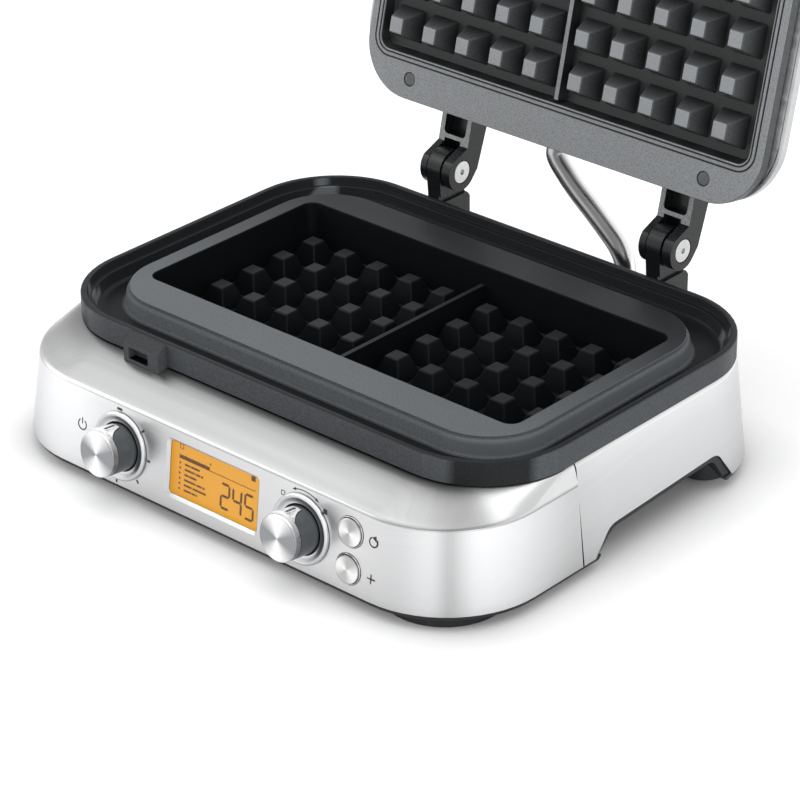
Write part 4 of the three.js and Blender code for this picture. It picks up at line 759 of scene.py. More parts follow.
figures = [bar(-26.6, -5.3, 28.1, 30.1), bar(-5.25, 26.2, 28.1, 28.45),
           [(-5.6, 32.3), (-4.2, 32.3), (-4.9, 30.9)]]
figures += [bar(x, x + 0.3, 30.15 if x < -5 else 28.5, 30.7 if x < -5 else 29.2)
            for x in (-26.6, -22, -17.5, -13, -8.5, 4, 11.5, 19, 26)]
for row, wide in enumerate((10.5, 13, 8.5, 14.5, 15.5, 9.5)):
    up = 25.1 - 2.85 * row
    dashes = [(0, 0.55), (0.6, 0.85), (0.9, 1)] if row % 2 else [(0, 0.35), (0.4, 1)]
    figures += [bar(-22.6 + wide * a, -22.6 + wide * b, up, up + 1.1) for a, b in dashes]
    figures.append([(-26.6, up - 0.2), (-26.6, up + 1.4), (-25, up + 0.6)] if row == 2 else
                   bar(-26.4, -25.3, up, up + 1.1))
figures += hollow_square(-26.4, -23.8, 33.4, 36.05, 0.35) + [bar(23.4, 26.2, 33.2, 36.0)]
for place, figure in enumerate("245"):
    figures += seven_segments(figure, 3.4 + 8.3 * place, 11.5)
drawn("display_figures", figures, PANE_BACK - 0.11, PANE_BACK - 0.04, dark_figures)

# Marks printed on the steel round the controls, in black ink: ticks, an arrow and plain signs for power,
# again, more, pale and dark.

black_ink, tree, shader = new_finish("black_ink", (0.03, 0.03, 0.032), 0.0, 0.55)
paint(shader, speckle(tree, 1500), (0.02, 0.02, 0.022), (0.05, 0.05, 0.052))


def around(x, u, radius, turn):
    """A place about a middle, by its turn clockwise from the top."""
    return x + radius * sin(turn), u + radius * cos(turn)


def arc(x, u, radius, from_degrees, to_degrees, wide, steps=14):
    """A thin arc, clockwise from the top."""
    turns = [radians(from_degrees + (to_degrees - from_degrees) * i / steps) for i in range(steps + 1)]
    outer = [around(x, u, radius + wide / 2, t) for t in turns]
    return outer + [around(x, u, radius - wide / 2, t) for t in turns[::-1]]


def arrow_head(x, u, radius, degrees, forward, long=2.6, wide=1.7):
    back = radians(degrees)
    return [around(x, u, radius, back + forward * long / radius), around(x, u, radius + wide / 2, back),
            around(x, u, radius - wide / 2, back)]


def ticks(name, x, up, radius, count, first_degrees, step_degrees, finish):
    """A node tree that sets short bars on an arc about a knob."""
    tree, start, values = new_tree(
        name, ("Marks", "Int", count), ("Step", "Float", radians(step_degrees)),
        ("Radius", "Float", radius / 1000), ("Length", "Float", 0.0022), ("Width", "Float", 0.0012),
        ("Ink", "Float", 0.00006))
    line = node(tree, "GeometryNodeMeshLine", {"Count": start["Marks"], "Offset": (0, 0, 0)})
    size = node(tree, "ShaderNodeCombineXYZ", {"X": start["Width"], "Y": start["Length"], "Z": start["Ink"]})
    mark = node(tree, "GeometryNodeMeshCube", {"Size": size.outputs["Vector"]})
    out = node(tree, "ShaderNodeCombineXYZ", {"Y": start["Radius"]})
    number = node(tree, "GeometryNodeInputIndex").outputs["Index"]
    turn = maths("MULTIPLY", maths("MULTIPLY", number, start["Step"]), -1)
    about = node(tree, "ShaderNodeCombineXYZ", {"Z": turn})
    stand = node(tree, "GeometryNodeInstanceOnPoints", {
        "Points": line.outputs["Mesh"], "Rotation": about.outputs["Vector"],
        "Instance": moved(tree, mark.outputs["Mesh"], out.outputs["Vector"])})
    piece = close_tree(to_object(name, [(0, 0, 0)]), tree, stand.outputs["Instances"], values, finish)
    middle = panel(x, up, 0.03)
    first = Matrix.Rotation(-radians(first_degrees), 4, "Z")
    piece.data.transform(
        Matrix.Translation(middle) @ Matrix((Vector((1, 0, 0)), UP, OUT)).transposed().to_4x4() @ first)
    return piece


menu_ticks = ticks("menu_ticks", MENU_X, KNOB_UP, 20.2, 4, 49, 45.7, black_ink)
settle(menu_ticks, None, "base", "black_plastic")
marks = [bar(MENU_X - 3.9, MENU_X - 0.2, 41.2, 42.6)]
marks += [arc(-93.7, 24.3, 2.9, 35, 325, 0.75), bar(-94.05, -93.35, 24.8, 28.2)]
marks += [arc(BROWNING_X, KNOB_UP, 20.4, -16, 24, 0.5), arrow_head(BROWNING_X, KNOB_UP, 20.4, -15, -1),
          arrow_head(BROWNING_X, KNOB_UP, 20.4, 23, 1)]
marks += hollow_square(46.9, 49.5, 35.4, 38.0, 0.4) + [bar(74.9, 77.6, 35.2, 37.9)]
marks += [arc(108.2, 32, 2.5, 50, 335, 0.75), [(109.6, 35.6), (109.9, 32.6), (107.3, 34.4)]]
marks += [bar(105.7, 110.7, 12.05, 12.75), bar(107.85, 108.55, 9.9, 14.9)]
drawn("panel_marks", marks, 0, 0.06, black_ink)

# Knob rings, button rings and buttons. Turned silver parts: a dished ring round each knob and a thin
# bright one round each button. The button faces are spun, which leaves fine circles on them.


def spun_finish(name, light, dark, roughness, phase):
    """Turned metal: fine circles, and a painted reflection of light and dark wedges in its colour, where the
    circles would catch the room.
    """
    finish, tree, shader = new_finish(name, light, 1.0, roughness)
    circles = speckle(tree, 1, (1, 9000, 1), detail=2, source="spun")
    # Painted reflection: light catches it twice in a turn.
    turn = maths("ADD", maths("MULTIPLY", part_of(mapped(tree, "spun"), "X"), 4 * pi), phase)
    painted_wedges = tinted(ranged(maths("SINE", turn), 0, 1, -0.75, 0.9), dark, light)
    fine = tinted(ranged(circles, 0, 1), (0.82, 0.82, 0.82), (1, 1, 1))
    both = node(tree, "ShaderNodeMix", {"Factor": 1, 6: painted_wedges, 7: fine}, data_type="RGBA",
                blend_type="MULTIPLY")
    feed(shader, {"Base Color": both.outputs[2]})
    relief(shader, circles, 0.02, 0.4)
    turned_shine(shader, 0.75, "spun")
    return finish


def spun_map(piece, x, up):
    """Lays a map on a turned piece: u is its share of the turn from the right, v its radius in metres."""
    middle = panel(x, up, 0)

    def polar(co):
        across, climb = (co - middle).x, (co - middle).dot(UP)
        return atan2(climb, across), hypot(across, climb)

    def rule(co, face):
        start, (turn, radius) = polar(face.center)[0], polar(co)
        off = 0.0 if radius < 2e-4 else (turn - start + pi) % (2 * pi) - pi
        return (start + off) / (2 * pi), radius

    return lay_map(piece, "spun", rule)


def knob_part(name, x, profile):
    return lathe(name, profile, (x, KNOB_UP, 0), panel, sides=96)


ring_silver = spun_finish("ring_silver", (0.84, 0.845, 0.85), (0.6, 0.61, 0.62), 0.3, -0.4)
button_silver = spun_finish("button_silver", (0.93, 0.93, 0.93), (0.52, 0.51, 0.5), 0.3, 2.3)
knob_silver = spun_finish("knob_silver", (0.95, 0.95, 0.95), (0.3, 0.31, 0.32), 0.26, -1.7)

for dial, x in DIALS:
    ring = knob_part(f"{dial}_knob_ring_turned", x, [
        (13.25, -3.3), (13.8, -3.3), (13.8, 0.3), (18.3, 0.3), (18.5, 0.5), (18.5, 1.2), (18.3, 1.65),
        (17.8, 2.1), (17.2, 2.3), (16.6, 2.2), (15.9, 1.8), (14.9, 1.25), (14.1, 1.1), (13.4, 1.1),
        (13.25, 0.95)])
    settle(spun_map(smooth(ring), x, KNOB_UP), ring_silver, "base", "spun_silver", f"{dial}_knob_ring")

for row, up in zip(("upper", "lower"), BUTTON_UPS):
    ring = lathe(f"{row}_ring_turned", [
        (7.6, -3.3), (9.4, -3.3), (9.4, -2.3), (8.1, -2.3), (8.1, 0.35), (7.98, 0.55), (7.85, 0.6),
        (7.72, 0.55), (7.6, 0.35)], (BUTTON_X, up, 0), panel, sides=72)
    if row == "lower":
        carve(ring, block("flat", 0, 200, -200, 3.5, -9, 9, panel))
    settle(smooth(ring), bright_steel, "base", "bright_steel", f"{row}_button_ring")
    button = lathe(f"{row}_button_turned", [
        (0, -9), (2.4, -9), (2.4, -0.8), (7.1, -0.8), (7.3, -0.6), (7.3, 1.2), (7.2, 1.5), (6.9, 1.72),
        (6.5, 1.8), (5.8, 1.74), (4, 1.62), (2, 1.57), (0.35, 1.56), (0, 1.56)],
        (BUTTON_X, up, 0), panel, sides=72)
    settle(spun_map(smooth(button), BUTTON_X, up), button_silver, f"{row}_button", "spun_silver",
           f"{row}_button")

# Knobs. A dark grey grip is pressed on its shaft, and a spun cap is pressed on the grip. A tongue of
# the cap runs back along the top of the grip and carries the black pointer line.

grip_grey, tree, shader = new_finish("grip_grey", (0.06, 0.07, 0.076), 0.0, 0.3)
cloud = speckle(tree, 240, detail=3)
paint(shader, cloud, (0.05, 0.059, 0.064), (0.078, 0.09, 0.097))
relief(shader, speckle(tree, 2800, detail=1), 0.02, 0.35)


def tongue_view(grow):
    """The tongue seen from above the knob as (x, out) points."""
    left = curve((-7.4 - grow, 13.6), (-3.4 - grow, 9.6), (-2.8 - grow, 4.6 - grow))
    return left + [(-x, n) for x, n in left[::-1]]


def upward(name, view, x):
    """A shape in (x, out) pushed up the panel's face from the knob's middle."""
    return loft(name, [[panel(x + a, KNOB_UP + u, n) for a, n in view] for u in (0, 60)])


def sleeve_piece(name, x, inner, outer, n0, n1, view):
    """What a view shares with a sleeve round the knob's shaft."""
    sleeve = knob_part(name, x, [(inner, n0), (outer, n0), (outer, n1), (inner, n1)])
    return carve(sleeve, upward(name + "_view", view, x), how="INTERSECT")


for dial, x in DIALS:
    bed = sleeve_piece("bed", x, 10.7, 13.4, 0.2, 13.1, tongue_view(0.3))
    grip = knob_part(f"{dial}_grip", x, [
        (0, -9), (3, -9), (3, 0.7), (11.8, 0.7), (12.3, 0.9), (12.5, 1.3), (12.5, 12.7), (12.3, 13), (9, 13),
        (9, 15), (0, 15)])
    settle(smooth(carve(grip, bed), 0.12), grip_grey, f"{dial}_dial", "grip_grey", f"{dial}_knob")
    cap = knob_part(f"{dial}_cap", x, [
        (0, 15.3), (9.3, 15.3), (9.3, 13.3), (12.1, 13.3), (12.3, 13.5), (12.3, 16.3), (12.2, 16.75),
        (11.9, 17.15), (11.45, 17.45), (10.9, 17.6), (0.4, 17.6), (0, 17.6)])
    join(cap, sleeve_piece("tongue", x, 11, 13, 0.2, 13.9, tongue_view(0)))
    settle(spun_map(smooth(cap, 0.1), x, KNOB_UP), knob_silver, f"{dial}_dial", "spun_silver",
           f"{dial}_knob_cap")
    line = sleeve_piece(f"{dial}_pointer_line", x, 12.6, 13.06, 5.6, 12.2, bar(-0.75, 0.75, 5, 13))
    settle(smooth(line), black_ink, f"{dial}_dial", "black_plastic")

# Hinge brackets. Black painted castings bolted to the back wall: each has a lug with a round top that
# the lid's arm turns on, and a groove across its foot.

satin_black, tree, shader = new_finish("satin_black", (0.01, 0.011, 0.013), 0.0, 0.3, 0.35)
peel = speckle(tree, 900, detail=2)
paint(shader, speckle(tree, 40, detail=4), (0.007, 0.008, 0.009), (0.014, 0.0155, 0.017))
dull(shader, peel, 0.24, 0.36)
relief(shader, peel, 0.03, 0.3)

HINGE_Y, HINGE_Z = 137.5, 91.8
HINGE_LINE, HINGE_BORE = (0, HINGE_Y, HINGE_Z), 3.3


def back_wall(z):
    """Where the outer face of the leaning back wall is at a height."""
    return BODY["back"] - (BODY["back"] - BACK_TOP) * (z - STEEL_BOTTOM) / (DECK_Z - STEEL_BOTTOM)


def arc_about_hinge(radius, degrees):
    return [(HINGE_Y + radius * cos(radians(a)), HINGE_Z + radius * sin(radians(a))) for a in degrees]


for side, x in SIDES:
    lug = prism(f"{side}_lug", [
        (back_wall(40) + 0.3, 40), (152.7, 40), (152.7, 70.4), (152.1, 71.5), (145.9, 78.9), (145.7, 79.6)]
        + arc_about_hinge(10.8, range(0, 181, 6)) + [
            (127.9, 76.8), (127.9, 63), (back_wall(63) + 0.3, 62.4)], x - 6.15, x + 3.35)
    flange = prism("flange", [
        (back_wall(34) + 0.3, 34), (back_wall(34) + 4.5, 34), (back_wall(61) + 4.5, 61),
        (back_wall(61) + 0.3, 61)], x - 13, x + 13)
    join(lug, flange, block("tenon", x - 4, x + 4, back_wall(42) - 9, back_wall(42) + 4.5, 42, 50))
    carve(lug, block("groove", x + 1.75, x + 4.95, 60, 200, 73.4, 77.6),
          rod("bore", HINGE_BORE, x - 50, x + 50, HINGE_LINE, along="x", sides=32))
    settle(smooth(lug, 0.8, 3), satin_black, "base", "black_satin", f"{side}_hinge_bracket")

# Glands in the back wall: the round one for the cord, and the box that holds the conduit's lower end.
# Both are black mouldings.

gland = lathe("cord_gland_moulding", [
    (3.6, 125.06), (7.5, 125.06), (7.5, 131.3), (9.3, 131.3), (9.5, 131.5), (9.5, 133.4), (9.1, 134.06),
    (5.4, 134.06), (5.0, 133.8), (3.9, 133.8), (3.6, 133.5)], CORD_PLACE, along="y")
settle(smooth(gland), moulded_black, "base", "black_plastic", "cord_gland")
box = prism("conduit_box", [(back_wall(30) + 0.3, 30), (157, 30), (158, 31), (158, 57), (157, 58),
                            (back_wall(58) + 0.3, 58)], 31, 53)
join(box, rod("spigot", 6, back_wall(44) - 6, 153, BOX_PLACE, along="y"))
settle(smooth(box, 0.6), moulded_black, "base", "black_plastic", "conduit_base_gland")

# Upper plate. A thinner casting under a grey speckled coating: double groove round a shallow recess,
# square pegs that reach down between the lower ones, and a ridge. It is drawn closed and turned open.

OPEN = radians(103.4)
hinge = Matrix.Translation(at(*HINGE_LINE))
OPEN_LID = hinge @ Matrix.Rotation(-OPEN, 4, "X") @ hinge.inverted()


def turned_about(line, angle, y, z):
    """Where a place seen from the side goes as it turns about a line."""
    b, c = y - line[1], z - line[2]
    return line[1] + b * cos(angle) + c * sin(angle), line[2] - b * sin(angle) + c * cos(angle)


def opened(x, y, z):
    """A place on the open lid, from its place with the lid shut."""
    return at(x, *turned_about(HINGE_LINE, OPEN, y, z))


grey_coating, tree, shader = new_finish("grey_coating", (0.25, 0.265, 0.275), 0.0, 0.42, 0.35)
grain = speckle(tree, 1900, detail=3)
# Painted light and shade: the tone map, from the lid's rule below, sets how pale the coating is painted.
toned(shader, (0.004, 0.0046, 0.005), (0.36, 0.375, 0.388), grain, 0.42)
dull(shader, grain, 0.5, 0.3)
relief(shader, grain, 0.06, 0.5)


def lid_painted_light(x, y, z, normal):
    """Painted light and shade: the plate's flat and the tips of its pegs are painted pale, the sides of the
    pegs and the plate darker, and the recess and what lies in it black as shade.
    """
    shut = OPEN_LID.inverted() @ at(x, y, z)
    down = -(OPEN_LID.inverted().to_3x3() @ normal).z
    depth = shut.z * 1000 - 77
    if depth < -6.5:
        return 1.1 if down > 0.9 else 0.25
    if depth < 0.3 and down > 0.5:
        return 0.86
    inside = abs(x) < 126.9 and -48 < shut.y * 1000 - FRONT_TO_FRAME < 79.3
    return 0.04 if inside or down > 0.5 else 0.33


LID = dict(half=136, front=-72.5, back=104, radius=31)
top_plate = stack("lid_casting", LID, (
    (77, -0.9), (77.1, -0.45), (77.4, -0.12), (77.9, 0), (82.6, 0), (83, -0.4)), opened)
join(top_plate, stack("casting_back", WELL, ((81, 4.5), (89, 4.5)), opened))
carve(top_plate, stack("recess", WELL, (
    (75, 0.9), (77, 0.9), (77.15, 0.45), (77.6, 0), (82.2, -1.6), (82.7, -1.9), (83, -2.6)), opened),
      *(loft("groove", rings_of(WELL, ((77.8, out), (76, out), (76, out + 1), (77.8, out + 1)), opened),
             closed=True) for out in (1, 3.6)))
PEG_FOOT = 84
pegs_up = peg_grid("upper_pegs", PEG_FOOT, 14.5, grey_coating)
# Turned over about their feet, the pegs point down, and then they go up with the lid.
middle = Vector((0, PEG_FRONT + PEG_PITCH * 2 + FRONT_TO_FRAME, PEG_FOOT)) / 1000
pegs_up.data.transform(OPEN_LID @ Matrix.Translation(middle) @ Matrix.Rotation(pi, 4, "X")
                       @ Matrix.Translation(-middle))
settle(tone_map(smooth(pegs_up, 0.8, 3), lid_painted_light), None, "lid", "lid_plate_coating")
upper_ridge = widened(block("upper_ridge", -RIDGE_TIP, RIDGE_TIP, -46, 77, PEG_FOOT, 77),
                      0.08, RIDGE_FOOT / RIDGE_TIP)
upper_ridge.data.transform(OPEN_LID)
join(top_plate, upper_ridge)
STUD_X, STUD_FRONT, STUD_BACK = 101.9, -63, 92.4
holes = []
for x in (-STUD_X, STUD_X):
    for y in (STUD_FRONT, STUD_BACK):
        hole = join(post("stud_hole", 4.1, x, y, 70, 79.4), post("stud_hole", 2.3, x, y, 79, 99))
        hole.data.transform(OPEN_LID)
        holes.append(hole)
carve(top_plate, *holes)
settle(tone_map(smooth(top_plate, 0.2), lid_painted_light), grey_coating, "lid", "lid_plate_coating", "upper_plate")

# Studs. Four round heads hold the plate to the lid's frame, and they carry the same grey coating. One is
# turned at the front left corner, and a node tree sets it in all four places.

studs = smooth(lathe("studs", [
    (0, 77.1), (2.6, 77.1), (3.4, 77.25), (3.8, 77.7), (3.8, 79.1), (2, 79.1), (2, 86.4), (0, 86.4)],
    (-STUD_X, STUD_FRONT, 0)))
set_in_places(studs, [(x / 1000, y / 1000, 0) for y in (0, STUD_BACK - STUD_FRONT) for x in (0, 2 * STUD_X)],
              grey_coating)
studs.data.transform(OPEN_LID)
settle(tone_map(studs, lambda x, y, z, normal: 0.34), None, "lid", "bright_steel",
       "stud_front_left", "stud_front_right", "stud_rear_left", "stud_rear_right")

# Lid cover. A pressed silver shell that slopes up from its edge to a flat crown, with openings for the
# hinge arms, the handle's brackets and the conduit's gland.

cover_steel, tree, shader = new_finish("cover_steel", (0.86, 0.865, 0.87), 1.0, 0.32)
brush = speckle(tree, 1, (5, 1800, 1800), detail=3)
paint(shader, ranged(brush, 0, 1, 0.25, 0.75), (0.47, 0.474, 0.478), (0.55, 0.554, 0.558))
dull(shader, speckle(tree, 1, (2, 120, 120)), 0.27, 0.4)
relief(shader, brush, 0.02, 0.3)

COVER = dict(half=142, front=-78.5, back=103, radius=37)
BEVEL = dict(half=116, front=-54, back=94, radius=34)
CROWN = dict(half=100, front=-38, back=78, radius=18)
outer = [(COVER, 83.3), (COVER, 88)]
outer += [(mixed(COVER, BEVEL, share), z) for share, z in (
    (0.02, 89.1), (0.07, 90.6), (0.5, 100.6), (0.92, 110.2), (1, 111.8))]
outer += [(mixed(BEVEL, CROWN, share), z) for share, z in (
    (0.15, 113.3), (0.4, 115.3), (0.7, 117), (1, 118), (1.5, 119.5))]
inner = [(COVER, 81.3), (COVER, 88), (BEVEL, 111), (CROWN, 116.5), (mixed(BEVEL, CROWN, 1.5), 118)]
cover = loft("lid_shell", [rounded(**shape, z=z, place=opened) for shape, z in outer])
notches = [block("notch", x - half, x + half, y0, y1, 92.8, z1, opened) for half, y0, y1, z1 in (
    (11.25, 90, 400, 107.8), (10.5, -400, -56, 105.5)) for _, x in SIDES]
LID_GLAND = (-8, 0, 96.9)
notches.append(rod("gland_notch", 6.3, 88, 200, LID_GLAND, opened, along="y"))
carve(cover, loft("inside", [rounded(**shape, z=z, grow=-2, place=opened) for shape, z in inner]), *notches)
settle(smooth(cover, 0.25), cover_steel, "lid", "brushed_steel", "lid_cover")

# Insulation pad. A slab of pressed pale wool lies over the lid's heater shield and keeps the heat off the
# cover. Its shape comes with the frame, so only its material is made here.

wool, tree, shader = new_finish("wool", (0.75, 0.72, 0.62), 0.0, 0.95)
fibre = speckle(tree, 700, (1, 6, 1), detail=6)
paint(shader, fibre, (0.6, 0.57, 0.48), (0.85, 0.82, 0.72))
relief(shader, fibre, 0.4, 0.8)
kit["upper_insulation"].data.materials[0] = wool

# Hinge arms. Black painted castings from the lid's frame: each forks round its lug, and its under face
# is left bare grey round a framed recess.

bare_casting, tree, shader = new_finish("bare_casting", (0.33, 0.345, 0.35), 0.35, 0.42)
grain = speckle(tree, 1200, detail=3)
paint(shader, ranged(grain, 0, 1), (0.2, 0.21, 0.215), (0.42, 0.435, 0.44))
relief(shader, grain, 0.05, 0.5)

ARM_HALF, FRAME_TOP = 10.75, 93.3
for side, x in SIDES:
    ear = arc_about_hinge(11, np.linspace(236.6, 422.4, 28))
    view = [(80, FRAME_TOP), (123.9, FRAME_TOP)] + ear + [(136.2, 104.9), (112, 107.3), (80, 107.3)]
    arm = prism(f"{side}_arm", view, x - ARM_HALF, x + ARM_HALF, opened)
    left, right = x - 6.55, x + 4.95
    carve(arm,
          rod("lug_room", 11.4, left, right, HINGE_LINE, opened, along="x", sides=64),
          block("room", left, right, HINGE_Y - 1, 400, -100, 400, opened),
          block("room", left, right, 125.7, 400, -100, HINGE_Z, opened),
          block("room", left, right, 121.8, HINGE_Y, -100, 100.5, opened),
          rod("head_room", 6.8, x + 8.95, x + 13, HINGE_LINE, opened, along="x", sides=64),
          loft("window", [rounded(7.7, 101.2, 119.4, 2.4, z, steps=6,
                                  place=lambda a, b, c, x=x: opened(a + x, b, c)) for z in (60, 101.3)]),
          rod("bolt_bore", HINGE_BORE, x - 20, x + 20, HINGE_LINE, opened, along="x", sides=32))
    smooth(arm, 0.8, 3)
    settle(arm, satin_black, "lid", "black_satin", f"{side}_hinge_arm")
    arm.data.materials.append(bare_casting)
    face_out = (opened(0, 0, 0) - opened(0, 0, 1)).normalized()
    under = opened(0, 100, FRAME_TOP)
    for face in arm.data.polygons:
        if face.normal.dot(face_out) > 0.6 and abs((face.center - under).dot(face_out)) < 0.0008:
            face.material_index = 1

# Hinge bolts. A bright steel bolt goes from the right through each arm's ears and the lug between them. Its
# round head with a hexagon socket stands in a recess of the arm.

for side, x in SIDES:
    face = x + 9.25
    bolt = lathe(f"{side}_bolt", [
        (0, x - ARM_HALF), (3, x - ARM_HALF), (3, face), (6.3, face), (6.5, face + 0.2), (6.5, face + 0.9),
        (6.3, face + 1.3), (5.9, face + 1.5), (0, face + 1.5)], HINGE_LINE, opened, along="x", sides=64)
    hexagon = [(1.75 * cos(k * pi / 3), 1.75 * sin(k * pi / 3)) for k in range(6)]
    socket = loft("socket", [[opened(face + depth, HINGE_Y + y, HINGE_Z + z) for y, z in hexagon]
                             for depth in (0.4, 3)])
    settle(smooth(carve(bolt, socket)), bright_steel, "lid", "bright_steel", f"{side}_hinge_bolt")

# Handle. Two black brackets reach forward from the lid's frame, and each ends in an eye that holds the
# bright grip bar. The left one also carries the latch on a cross pin.

BAR_LINE, PIN_LINE, PIN_BORE, BRACKET_HALF = (0, -124, 100), (0, -103, 88), 1.8, 10
for side, x in SIDES:
    left, right = x - BRACKET_HALF, x + BRACKET_HALF
    bracket = block(f"{side}_bracket", left, right, BAR_LINE[1], -55, FRAME_TOP, 105, opened)
    join(bracket, rod("eye", 13.9, left, right, BAR_LINE, opened, along="x", sides=72))
    bores = [rod("bar_bore", 9.3, x - 40, x + 40, BAR_LINE, opened, along="x", sides=64)]
    if side == "left":
        for s in (-1, 1):
            a, b = sorted((x + s * BRACKET_HALF, x + s * 6.7))
            join(bracket, rod("pin_lug", 4.6, a, b, PIN_LINE, opened, along="x"),
                 block("pin_web", a, b, -107.6, -98.4, 88, 95.3, opened))
        bores.append(rod("pin_bore", PIN_BORE, x - 40, x + 40, PIN_LINE, opened, along="x", sides=24))
    settle(smooth(carve(bracket, *bores), 0.5), satin_black, "lid", "black_satin", f"{side}_handle_bracket")

handle_steel, tree, shader = new_finish("handle_steel", (0.84, 0.845, 0.85), 1.0, 0.27)
shader.inputs["Anisotropic"].default_value = 0.4
brush = speckle(tree, 1, (4, 2600, 2600), detail=2)
paint(shader, ranged(brush, 0, 1), (0.58, 0.585, 0.59), (0.68, 0.68, 0.685))
relief(shader, brush, 0.015, 0.3)
grip_bar = lathe("grip_bar", [
    (0, -100), (7.4, -100), (8.3, -99.7), (8.8, -99.1), (9, -98.2), (9, 98.2), (8.8, 99.1), (8.3, 99.7),
    (7.4, 100), (0, 100)], BAR_LINE, opened, along="x", sides=80)
settle(smooth(grip_bar), handle_steel, "lid", "bright_steel", "handle_bar")
pin = lathe("latch_cross_pin", [
    (0, -87.2), (1.2, -87.2), (1.5, -86.9), (1.5, -67.5), (1.2, -67.2), (0, -67.2)],
    PIN_LINE, opened, along="x", sides=32)
settle(smooth(pin), bright_steel, "lid", "bright_steel", "latch_pin")

# Latch lever. A black pressing that hangs from its pin, swung a little out, with a tooth for the catch
# on the lower plate and a finger tab at its end.


def swung(x, y, z):
    """A place on the lever, from its place hanging straight with the lid shut."""
    return opened(x, *turned_about(PIN_LINE, radians(28), y, z))


LEVER_Y = -103.8
lever_left, lever_right = -HINGE_X - 6.4, -HINGE_X + 6.4
lever = prism("lever", [
    (LEVER_Y - 3.8, 88), (LEVER_Y - 3.8, 63.9), (LEVER_Y - 8.05, 63.9), (LEVER_Y - 8.05, 62), (LEVER_Y, 62),
    (LEVER_Y, 88)], lever_left, lever_right, swung)
join(lever,
     prism("tooth", [(LEVER_Y - 1.9, 64.2), (-99.7, 64.2), (-99.7, 68.6), (LEVER_Y - 1.9, 69.3)],
           lever_left, lever_right, swung),
     rod("hub", 4.2, lever_left, lever_right, PIN_LINE, swung, along="x", sides=40))
carve(lever, rod("hub_bore", PIN_BORE, -HINGE_X - 20, -HINGE_X + 20, PIN_LINE, swung, along="x", sides=32))
settle(smooth(lever, 0.4), satin_black, "latch", "black_satin", "latch_lever")

# Wiring conduit. A bright stiff tube with the lid's wires in it, from the gland on the lid's back down
# to its box on the base. The real tube bends a little as the lid turns; here it has one shape, for the open
# lid.

conduit_painted_bands, tree, shader = new_finish("conduit_painted_bands", (0.6, 0.6, 0.61), 1.0, 0.3)
# Painted reflection: light and dark bands across the tube, from the tone map laid below.
painted_reflection_bands = graded(part_of(mapped(tree, "tone"), "X"), [
    (-1000, 0.06), (-860, 0.12), (-720, 0.5), (-480, 0.52), (-330, 0.2), (60, 0.19), (260, 0.5), (480, 0.86),
    (800, 0.88), (950, 0.5), (1000, 0.4)])
wipe = speckle(tree, 70, detail=4)
paint(shader, maths("MULTIPLY", painted_reflection_bands, ranged(wipe, 0.94, 1.06)), (0, 0, 0), (1, 1, 1.01))
dull(shader, wipe, 0.26, 0.36)

lid_gland = lathe("lid_gland", [
    (0, 93.3), (6, 93.3), (6, 103.3), (7.6, 103.3), (8, 103.7), (8, 104.9), (7.6, 105.3), (0, 105.3)],
    LID_GLAND, opened, along="y", sides=56)
settle(smooth(lid_gland), satin_black, "lid", "black_satin", "conduit_lid_gland")

# The line leaves the lid's gland and hangs down to the box, through places at shares of the way.
GLAND_X, _, GLAND_Z = LID_GLAND
LID_END, LID_LEAD = (opened(GLAND_X, y, GLAND_Z) for y in (105.6, 111.4))
FOOT = at(42, 148, 58.3)
span = LID_END - FOOT
route = [LID_END, LID_LEAD]
route += [Vector((LID_END.x - span.x * across, FOOT.y, FOOT.z + span.z * up)) for across, up in (
    (0.17, 0.753), (0.346, 0.625), (0.54, 0.504), (0.728, 0.38), (0.898, 0.254), (0.968, 0.161))]
route += [FOOT + Vector((0, 0, 0.0029)), FOOT]


def along_route(points, steps):
    """A smooth line through the points, with its steps spread by the square root of the spans."""
    points = [points[0] * 2 - points[1]] + points + [points[-1] * 2 - points[-2]]
    line = []
    for i in range(len(points) - 3):
        spots, t = points[i:i + 4], [0.0]
        for a, b in zip(spots, spots[1:]):
            t.append(t[-1] + max((b - a).length, 1e-9) ** 0.5)
        for k in range(steps):
            s, level = t[1] + (t[2] - t[1]) * k / steps, spots
            for span in (1, 2):
                level = [a.lerp(b, (s - t[j]) / (t[j + span] - t[j]))
                         for j, (a, b) in enumerate(zip(level, level[1:]))]
            line.append(level[0].lerp(level[1], (s - t[1]) / (t[2] - t[1])))
    return line + [points[-2]]


def tube_along(name, line, radius, sides, finish):
    """A node tree that lays a round tube along a line of edges."""
    piece = to_object(name, line, edges=[(i, i + 1) for i in range(len(line) - 1)])
    tree, start, values = new_tree(
        name + "_along", ("Radius", "Float", radius / 1000), ("Sides", "Int", sides))
    path = node(tree, "GeometryNodeMeshToCurve", {"Mesh": start["Geometry"]})
    ring = node(tree, "GeometryNodeCurvePrimitiveCircle", {
        "Resolution": start["Sides"], "Radius": start["Radius"]})
    skin = node(tree, "GeometryNodeCurveToMesh", {
        "Curve": path.outputs["Curve"], "Profile Curve": ring.outputs["Curve"], "Fill Caps": True})
    return close_tree(piece, tree, skin.outputs["Mesh"], values, finish)


# Painted reflection: the tube's light and dark bands are painted in its colour by how far its face looks to
# the right of the view.
VIEW_RIGHT = Vector((0.749, 0.663, 0))
conduit = tube_along("conduit", along_route(route, 12), 5.8, 48, conduit_painted_bands)
conduit = tone_map(smooth(outward(conduit), sharp=50), lambda x, y, z, normal: normal.dot(VIEW_RIGHT))
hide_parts("wiring_conduit")
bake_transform(conduit)

# Floor, light and camera. A white table with the maker's soft shadow on it, a large soft light above,
# weaker ones from the left and the right, and a camera in front at the right.

floor = to_object("floor", [(-9, -9, 0), (9, -9, 0), (9, 9, 0), (-9, 9, 0)], [(0, 1, 2, 3)])


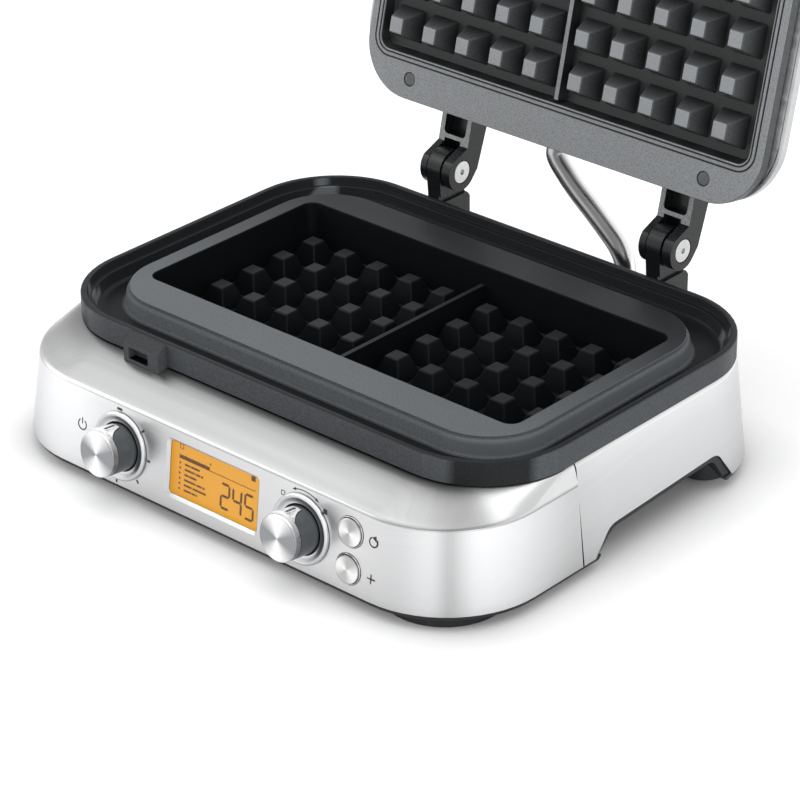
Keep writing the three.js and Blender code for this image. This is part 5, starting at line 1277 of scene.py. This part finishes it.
def seen_share(tree):
    """1 for rays from the camera, off gloss or through glass, and 0 for the rest."""
    rays = node(tree, "ShaderNodeLightPath").outputs
    share = maths("MAXIMUM", rays["Is Camera Ray"], rays["Is Glossy Ray"])
    return maths("MAXIMUM", share, rays["Is Transmission Ray"])


table, tree, shader = new_finish("table", (0.9, 0.9, 0.91), 0.0, 0.9, 0.0)
# Painted shade: the table's glow grows with the way from the maker's footprint, so the floor is painted
# darker near it and a shadow stays under its edges.
reach = own_place(tree)
for kind, values in (("ADD", (0, 0.036, 0)), ("ABSOLUTE", (0, 0, 0)), ("SUBTRACT", (0.135, 0.1, 0)),
                     ("MAXIMUM", (0, 0, 0)), ("LENGTH", (0, 0, 0))):
    step = node(tree, "ShaderNodeVectorMath", {0: reach, 1: values}, operation=kind)
    reach = step.outputs["Value" if kind == "LENGTH" else "Vector"]
glow_with_painted_shade = graded(reach, [(0, 0.02), (12, 0.03), (60, 0.3), (250, 0.4), (1000, 0.9)])
feed(shader, {"Emission Color": (1, 1, 1, 1),
              "Emission Strength": maths("MULTIPLY", seen_share(tree), glow_with_painted_shade)})
floor.data.materials.append(table)

world = bpy.data.worlds.new("room")
bpy.context.scene.world = world
world.use_nodes = True
ROOM_LIGHT = 0.45
tree = world.node_tree
feed(tree.nodes["Background"], {"Color": (1, 1, 1, 1),
                                "Strength": ranged(seen_share(tree), ROOM_LIGHT, 1.0, 0, 1)})


def soft_light(name, place, size, power):
    """A lamp that looks at a point 0.1 m above the table, under the open lid."""
    data = bpy.data.lights.new(name, "AREA")
    data.shape, data.size, data.size_y, data.energy = "RECTANGLE", size[0], size[1], power
    lamp = set_up(name, data)
    lamp.location = place
    lamp.rotation_euler = (Vector(place) - Vector((0, 0, 0.1))).to_track_quat("Z", "Y").to_euler()


soft_light("overhead", (0.1, 0.15, 2.3), (3.0, 2.4), 29)
soft_light("left_window", (-1.9, -0.9, 1.3), (1.2, 1.6), 14)
soft_light("right_fill", (1.9, -1.2, 0.9), (1.2, 1.2), 6)

# The camera that was solved from the photo: its turns in radians, and its way from its aim.
AZIMUTH, ELEVATION, ROLL, REACH = 0.7246705421, 0.4838536576, -0.0031373974, 1697.037382
AIM = at(15.19419, 18.244881, 40)
right = Vector((cos(AZIMUTH), sin(AZIMUTH), 0))
ahead = Vector((-sin(AZIMUTH) * cos(ELEVATION), cos(AZIMUTH) * cos(ELEVATION), -sin(ELEVATION)))
above = right.cross(ahead)
across = right * cos(ROLL) + above * sin(ROLL)
upward_way = above * cos(ROLL) - right * sin(ROLL)
view = bpy.data.cameras.new("view")
view.lens, view.sensor_width, view.shift_x, view.shift_y = 145.728, 36, -0.03823, -0.03129
camera = set_up("view", view)
turn = Matrix((across, upward_way, -ahead)).transposed().to_4x4()
camera.matrix_world = Matrix.Translation(AIM - ahead * REACH / 1000) @ turn
bpy.context.scene.camera = camera
bpy.context.scene.view_settings.view_transform = "Standard"
